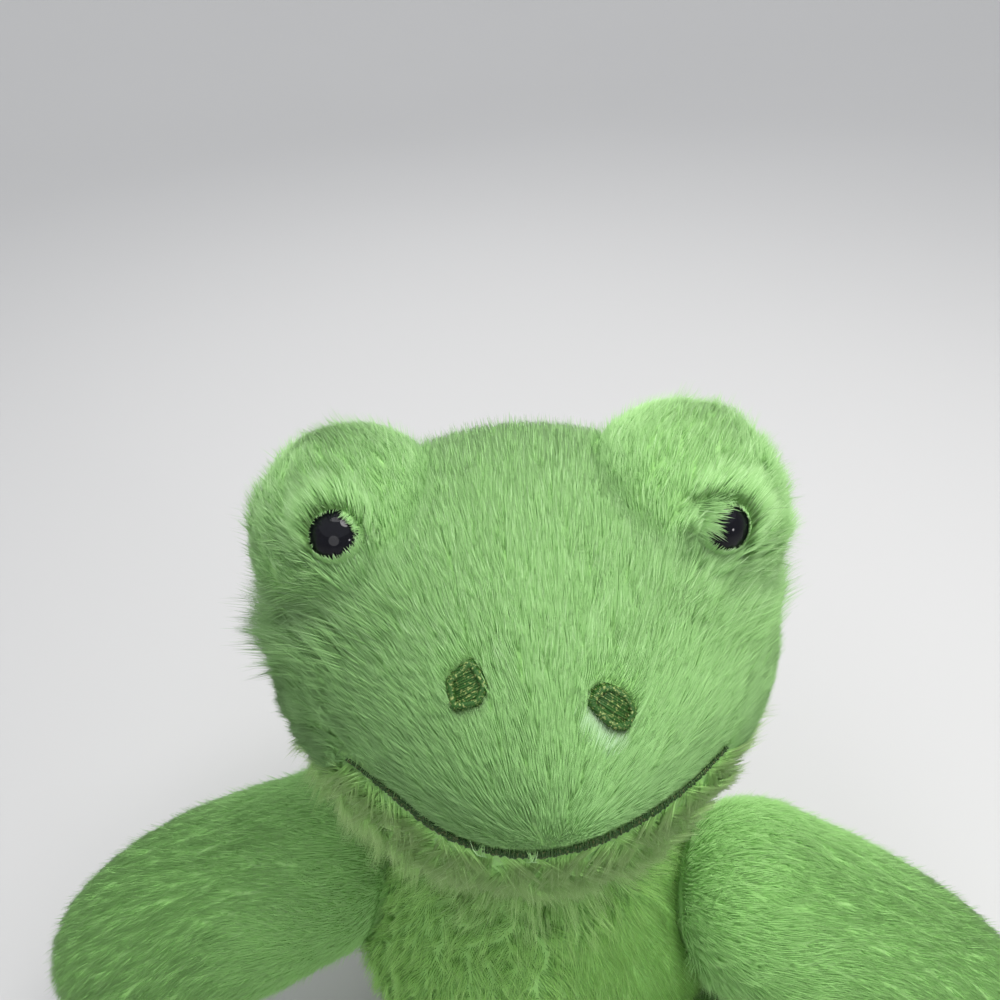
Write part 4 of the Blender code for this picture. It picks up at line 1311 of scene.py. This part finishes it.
class FROG_OT_eyes(bpy.types.Operator):
    """Make both glossy eyes"""

    bl_idname = "frog.eyes"
    bl_label = "Eyes"

    def execute(self, context):
        sizes, colours = context.scene.frog_sizes, context.scene.frog_colours
        finish = new_finish("eye plastic", specular=0.03, coat=0.4, coat_roughness=0.03)
        material, nodes, links, shader = finish
        dust = grain(nodes, links, 1400)
        polish = nodes.new("ShaderNodeMapRange")
        polish.inputs["To Min"].default_value = 0.04
        polish.inputs["To Max"].default_value = 0.14
        links.new(dust, polish.inputs["Value"])
        links.new(polish.outputs["Result"], shader.inputs["Roughness"])
        tint = ramp(nodes, links, dust, (0.0, colours.eye), (1.0, EYE_HAZE))
        links.new(tint, shader.inputs["Base Color"])
        for word, side in SIDES.items():
            seat, look = eye_place(side, sizes)
            turn = pointing(look)

            def shape(unit, seat=seat, turn=turn):
                """A dome of an ellipse's arc in front, closed by a shallow back."""
                depth = np.where(unit[..., 2] >= 0, sizes.eye_height, sizes.eye_height * 0.3)
                flat = unit[..., :2] * sizes.eye_radius
                local = np.concatenate([flat, (unit[..., 2] * depth)[..., None]], -1)
                return from_head(seat + local @ turn.T)

            name = "eye_dome_" + word
            dome = put_piece(name, closed_grid(name, shape, 40, 56), material, "head")
            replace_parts(dome, "eye_" + word)
        return {"FINISHED"}


def satin(name, thread, glint):
    """Shiny thread: dark green with glints where a fine noise is high, and the same noise as bump."""
    material, nodes, links, shader = new_finish(name, roughness=0.42, specular=0.3)
    speck = grain(nodes, links, 2600, 1)
    links.new(ramp(nodes, links, speck, (0.52, thread), (0.70, glint)), shader.inputs["Base Color"])
    bumped(nodes, links, shader, speck, 0.4, 0.0001)
    return material


class FROG_OT_nostrils(bpy.types.Operator):
    """Make both embroidered nostrils"""

    bl_idname = "frog.nostrils"
    bl_label = "Nostrils"

    def execute(self, context):
        sizes, colours = context.scene.frog_sizes, context.scene.frog_colours
        material = satin("nostril thread", colours.thread, colours.thread_glint)
        for word in SIDES:
            corners = np.array(NOSTRIL_CORNERS[word])
            middle = corners.mean(0)

            def pad(unit, corners=corners, middle=middle):
                """A flat lens over the patch, as high as a half sine from its edge to its middle."""
                angle = np.arctan2(unit[..., 1], unit[..., 0])
                reach = patch_reach(angle, corners) * np.hypot(unit[..., 0], unit[..., 1]) * 0.97
                height = np.where(unit[..., 2] > 0, 0.0008, 0.0011) * unit[..., 2]
                aside = middle[0] + reach * np.cos(angle)
                up = middle[1] + reach * np.sin(angle)
                return face_point(aside, up, height, sizes)

            lean = NOSTRIL_LEAN[word]
            angle = np.linspace(0, 2 * math.pi, 721)
            edge = patch_reach(angle, corners)[:, None] * np.stack([np.cos(angle), np.sin(angle)], -1)
            along = edge @ (math.cos(lean), math.sin(lean))
            over = edge @ (-math.sin(lean), math.cos(lean))
            rows = np.arange(over.min() + THREAD_SPACING, over.max() - THREAD_SPACING / 2, THREAD_SPACING)
            near = np.abs(over[None] - rows[:, None]) < THREAD_SPACING
            low = np.where(near, along[None], np.inf).min(1)[:, None]
            high = np.where(near, along[None], -np.inf).max(1)[:, None]
            share = np.linspace(0.02, 0.98, 8)[None]
            run = low + (high - low) * share
            across = middle[0] + run * math.cos(lean) - rows[:, None] * math.sin(lean)
            upward = middle[1] + run * math.sin(lean) + rows[:, None] * math.cos(lean)
            swell = 0.0003 + 0.0007 * np.sin(math.pi * share)
            stagger = 0.00012 * np.sin(np.arange(len(rows)) * 2.3)[:, None]
            filling = face_point(across, upward, swell + stagger, sizes)
            spin = np.linspace(0, 2 * math.pi, HEM_THREADS, endpoint=False)[:, None]
            depth = np.linspace(1.05, 0.66, 5)[None] + 0.03 * np.sin(spin * 37)
            reach = patch_reach(spin, corners) * depth
            hem_height = 0.0001 + 0.0011 * np.sin(np.linspace(0.1, 2.4, 5))[None] + 0 * spin
            hem_aside, hem_up = middle[0] + reach * np.cos(spin), middle[1] + reach * np.sin(spin)
            hem = face_point(hem_aside, hem_up, hem_height, sizes)
            out = unit_vectors(filling[:, 4] - from_head(HEAD_MIDDLE))
            out_hem = unit_vectors(hem[:, 2] - from_head(HEAD_MIDDLE))
            name = "nostril_patch_" + word
            mesh = joined(
                name,
                [
                    closed_grid(name + "_pad", pad, 12, 32),
                    thread_mesh(name + "_rows", filling, out, THREAD_RADIUS),
                    thread_mesh(name + "_hem", hem, out_hem, THREAD_RADIUS),
                ],
            )
            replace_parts(put_piece(name, mesh, material, "head"), "nostril_" + word)
        return {"FINISHED"}


def put_wisps(name, path):
    """Loose pale strands along given paths on the head."""
    finish = pile_finish(name, *WISP_TINTS)
    out = unit_vectors(path[:, 0] - from_head(HEAD_MIDDLE))
    across = unit_vectors(np.cross(out, path[:, -1] - path[:, 0]))
    number = hashed(path[:, 0] * 5011.0, 5)
    mesh = strand_mesh(name, path, across, out, 0.00008 + 0.00004 * number, number)
    put_piece(name, mesh, finish, "head")


class FROG_OT_mouth(bpy.types.Operator):
    """Make the embroidered mouth"""

    bl_idname = "frog.mouth"
    bl_label = "Mouth"

    def execute(self, context):
        sizes, colours = context.scene.frog_sizes, context.scene.frog_colours
        dark = [0.55 * part for part in colours.thread]
        dull = [0.3 * part for part in colours.thread_glint]
        material = satin("mouth thread", dark, dull)
        table = np.array(MOUTH_LINE)
        aside = np.linspace(table[0, 0], table[-1, 0], 1200)
        height = mouth_height(aside)
        travelled = np.concatenate([[0], np.hypot(np.diff(aside), np.diff(height)).cumsum()])
        steps = np.arange(THREAD_SPACING, travelled[-1], THREAD_SPACING)
        x = np.interp(steps, travelled, aside)
        z = np.interp(steps, travelled, height)
        kept = np.all(np.abs(x[:, None] - np.array(MOUTH_BREAKS)) > 0.00025, axis=1)
        x, z = x[kept], z[kept]
        slope = np.gradient(z, x)
        forward = unit_vectors(np.stack([np.ones_like(x), slope], -1))
        side = np.stack([-forward[:, 1], forward[:, 0]], -1) + 0.35 * forward
        ends = np.minimum((x - table[0, 0]) / 0.012, (table[-1, 0] - x) / 0.022)
        ragged = hashed(np.stack([x, z, x * z], -1) * 7001.0, 4) - 0.5
        half = 0.00014 + 0.00058 * eased(ends, 0, 1) + 0.0004 * ragged * eased(ends, 0, 0.4)
        share = np.linspace(-1, 1, 7)[None]
        place = np.stack([x, z], -1)[:, None] + side[:, None] * (half[:, None] * share)[..., None]
        rise = 0.0003 + 0.0005 * np.cos(share * math.pi / 2 * 0.98) + 0.0003 * ragged[:, None]
        stitches = face_point(place[..., 0], place[..., 1], rise, sizes)
        out = unit_vectors(stitches[:, 3] - from_head(HEAD_MIDDLE))
        core_x = np.linspace(table[0, 0] + 0.0005, table[-1, 0] - 0.0005, 160)[None]
        core = face_point(core_x, mouth_height(core_x), 0.0003 + 0 * core_x, sizes)
        core_out = unit_vectors(core[:, 80] - from_head(HEAD_MIDDLE))
        mesh = joined(
            "mouth_satin",
            [
                thread_mesh("mouth_rows", stitches, out, THREAD_RADIUS),
                thread_mesh("mouth_core", core, core_out, CORE_THREAD_RADIUS),
            ],
        )
        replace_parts(put_piece("mouth_satin", mesh, material, "head"), "mouth_stitching")
        order = np.arange(MOUTH_WISPS)[:, None] + np.zeros((1, 3))
        gap = np.array(MOUTH_BREAKS)[np.arange(MOUTH_WISPS) % 2] + 0.0016 * (hashed(order, 11) - 0.5)
        share = np.linspace(-1, 1, 5)[None]
        wide = 0.0006 + 0.0012 * hashed(order, 12)[:, None]
        x = gap[:, None] + 0.0022 * share * (hashed(order, 13)[:, None] - 0.4)
        z = mouth_height(gap)[:, None] + wide * share[:, ::-1]
        rise = 0.0003 + 0.0013 * np.cos(share * math.pi / 2 * 0.9) + 0 * z
        put_wisps("mouth_wisps", face_point(x, z, rise, sizes))
        return {"FINISHED"}


class FROG_OT_inside(bpy.types.Operator):
    """Make the pellet pouch and its pellets, and finish the eyes' washers"""

    bl_idname = "frog.inside"
    bl_label = "Inside"

    def execute(self, context):
        middle = np.array(POUCH_MIDDLE)
        wide, tall = POUCH_RADIUS, POUCH_HALF_HEIGHT

        def bag(unit):
            """An egg whose side is drawn into twelve gathers near its mouth on top."""
            around = np.arctan2(unit[..., 1], unit[..., 0])
            drawn = 1 - 0.04 * eased(unit[..., 2], 0.3, 0.9) * (1 + np.cos(12 * around))
            radius = (wide * drawn)[..., None]
            return middle + unit * np.concatenate([radius, radius, tall + 0 * radius], -1)

        cotton = plush_ground("pouch cotton", (1.0, 1.0, 0.94), (0.42, 0.42, 0.39))
        pouch = put_piece("pouch_bag", closed_grid("pouch_bag", bag, 40, 96), cotton, "torso")
        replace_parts(pouch, "pellet_pouch")
        cells = np.stack(np.meshgrid(*[np.arange(-7, 8)] * 3, indexing="ij"), -1).reshape(-1, 3) * 1.0
        places = (cells + 0.3 * np.stack([hashed(cells, 3 + axis) for axis in range(3)], -1)) * 0.0027
        room = np.linalg.norm(places / (wide - 0.003, wide - 0.003, tall - 0.003), axis=-1) < 1
        places, cells = places[room], cells[room]
        lying = unit_vectors(np.stack([hashed(cells, 13 + axis) for axis in range(3)], -1) - 0.5)
        path = middle + places[:, None] + lying[:, None] * np.linspace(-0.0010, 0.0010, 5)[None, :, None]
        above = unit_vectors(np.cross(lying, lying[:, ::-1] + (0.3, 0.1, 0.2)))
        grains = thread_mesh("pellet_grains", path, above, 0.0010)
        plastic = moulded("pellet plastic", (0.45, 0.46, 0.45))
        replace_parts(put_piece("pellet_grains", grains, plastic, "torso"), "pellet_fill")
        white = moulded("washer plastic", (0.80, 0.80, 0.78))
        for word in SIDES:
            washer = bpy.data.objects["eye_washer_" + word]
            washer.data.materials.clear()
            washer.data.materials.append(white)
        return {"FINISHED"}


def moulded(name, colour):
    """Moulded plastic with a faint mottle."""
    material, nodes, links, shader = new_finish(name, roughness=0.4)
    darker = [0.85 * part for part in colour]
    tint = ramp(nodes, links, grain(nodes, links, 700), (0.0, darker), (1.0, colour))
    links.new(tint, shader.inputs["Base Color"])
    return material


class FROG_OT_stage(bpy.types.Operator):
    """Make the floor, the lights and the camera"""

    bl_idname = "frog.stage"
    bl_label = "Stage"

    def execute(self, context):
        colours = context.scene.frog_colours
        scene = context.scene
        columns = 96
        reach = np.concatenate([[0.3, 0.7], np.linspace(1.0, 3.2, 16)])[:, None]
        turn = np.arange(columns)[None] * math.pi / (columns / 2)
        height = 0.45 * np.maximum(0, reach - 1.0) ** 2 - 0.0002
        rings = np.stack([reach * np.cos(turn), reach * np.sin(turn), height + 0 * turn], -1)
        start = np.arange(len(reach) - 1)[:, None] * columns
        ring = np.arange(columns)
        after = (ring + 1) % columns
        squares = np.stack([start + ring, start + ring + columns, start + after + columns, start + after], -1)
        mesh = put_mesh("floor", rings.reshape(-1, 3), [ring[None], squares.reshape(-1, 4)])
        floor = bpy.data.objects.new("floor", mesh)
        scene.collection.objects.link(floor)
        material, nodes, links, shader = new_finish("pale floor", roughness=0.6)
        darker = [part * 0.97 for part in colours.floor]
        tint = ramp(nodes, links, grain(nodes, links, 3), (0.0, darker), (1.0, colours.floor))
        links.new(tint, shader.inputs["Base Color"])
        mesh.materials.append(material)
        for name, (place, aim, size, power, colour) in LAMPS.items():
            light = bpy.data.lights.new(name, "AREA")
            light.shape = "DISK"
            light.size = size
            light.energy = power
            light.color = colour
            lamp = bpy.data.objects.new(name, light)
            turn = Matrix(pointing(np.array(place) - aim)).to_4x4()
            lamp.matrix_world = Matrix.Translation(place) @ turn
            scene.collection.objects.link(lamp)
        world = bpy.data.worlds.new("studio")
        world.use_nodes = True
        sky = world.node_tree.nodes["Background"]
        sky.inputs["Color"].default_value = SKY_COLOUR
        sky.inputs["Strength"].default_value = SKY_POWER
        scene.world = world
        azimuth, pitch, roll = CAMERA_TURNS
        level = math.cos(pitch)
        ahead = np.array([-math.sin(azimuth) * level, math.cos(azimuth) * level, -math.sin(pitch)])
        right = np.array([math.cos(azimuth), math.sin(azimuth), 0])
        up = np.cross(right, ahead)
        across = math.cos(roll) * right - math.sin(roll) * up
        above = math.sin(roll) * right + math.cos(roll) * up
        lens = bpy.data.cameras.new("camera")
        lens.lens = CAMERA_FOCUS
        lens.sensor_width = CAMERA_WIDTH
        lens.clip_start = 0.01
        camera = bpy.data.objects.new("camera", lens)
        turn = Matrix(np.stack([across, above, -ahead], -1)).to_4x4()
        camera.matrix_world = Matrix.Translation(CAMERA_PLACE) @ turn
        scene.collection.objects.link(camera)
        scene.camera = camera
        scene.view_settings.view_transform = "Standard"
        return {"FINISHED"}


OPERATORS = (
    FROG_OT_head,
    FROG_OT_mounds,
    FROG_OT_torso,
    FROG_OT_arms,
    FROG_OT_legs,
    FROG_OT_eyes,
    FROG_OT_nostrils,
    FROG_OT_mouth,
    FROG_OT_inside,
    FROG_OT_stage,
)


class FROG_PT_panel(bpy.types.Panel):
    """Lists the frog's pieces"""

    bl_label = "Plush Frog"
    bl_space_type = "VIEW_3D"
    bl_region_type = "UI"
    bl_category = "Plush Frog"

    def draw(self, context):
        for operator in OPERATORS:
            self.layout.operator(operator.bl_idname)
        for group in (context.scene.frog_sizes, context.scene.frog_pile, context.scene.frog_colours):
            for name in group.__annotations__:
                self.layout.prop(group, name)


CLASSES = (FrogSizes, FrogPile, FrogColours, *OPERATORS, FROG_PT_panel)


def register():
    """Registers the classes and gives the scene its sizes, pile and colours."""
    for item in CLASSES:
        bpy.utils.register_class(item)
    bpy.types.Scene.frog_sizes = PointerProperty(type=FrogSizes)
    bpy.types.Scene.frog_pile = PointerProperty(type=FrogPile)
    bpy.types.Scene.frog_colours = PointerProperty(type=FrogColours)


def unregister():
    """Takes away what register added."""
    del bpy.types.Scene.frog_colours
    del bpy.types.Scene.frog_pile
    del bpy.types.Scene.frog_sizes
    for item in reversed(CLASSES):
        bpy.utils.unregister_class(item)


def main():
    register()
    bpy.ops.frog.head()
    bpy.ops.frog.mounds()
    bpy.ops.frog.torso()
    bpy.ops.frog.arms()
    bpy.ops.frog.legs()
    bpy.ops.frog.eyes()
    bpy.ops.frog.nostrils()
    bpy.ops.frog.mouth()
    bpy.ops.frog.inside()
    bpy.ops.frog.stage()


if __name__ == "__main__":
    main()
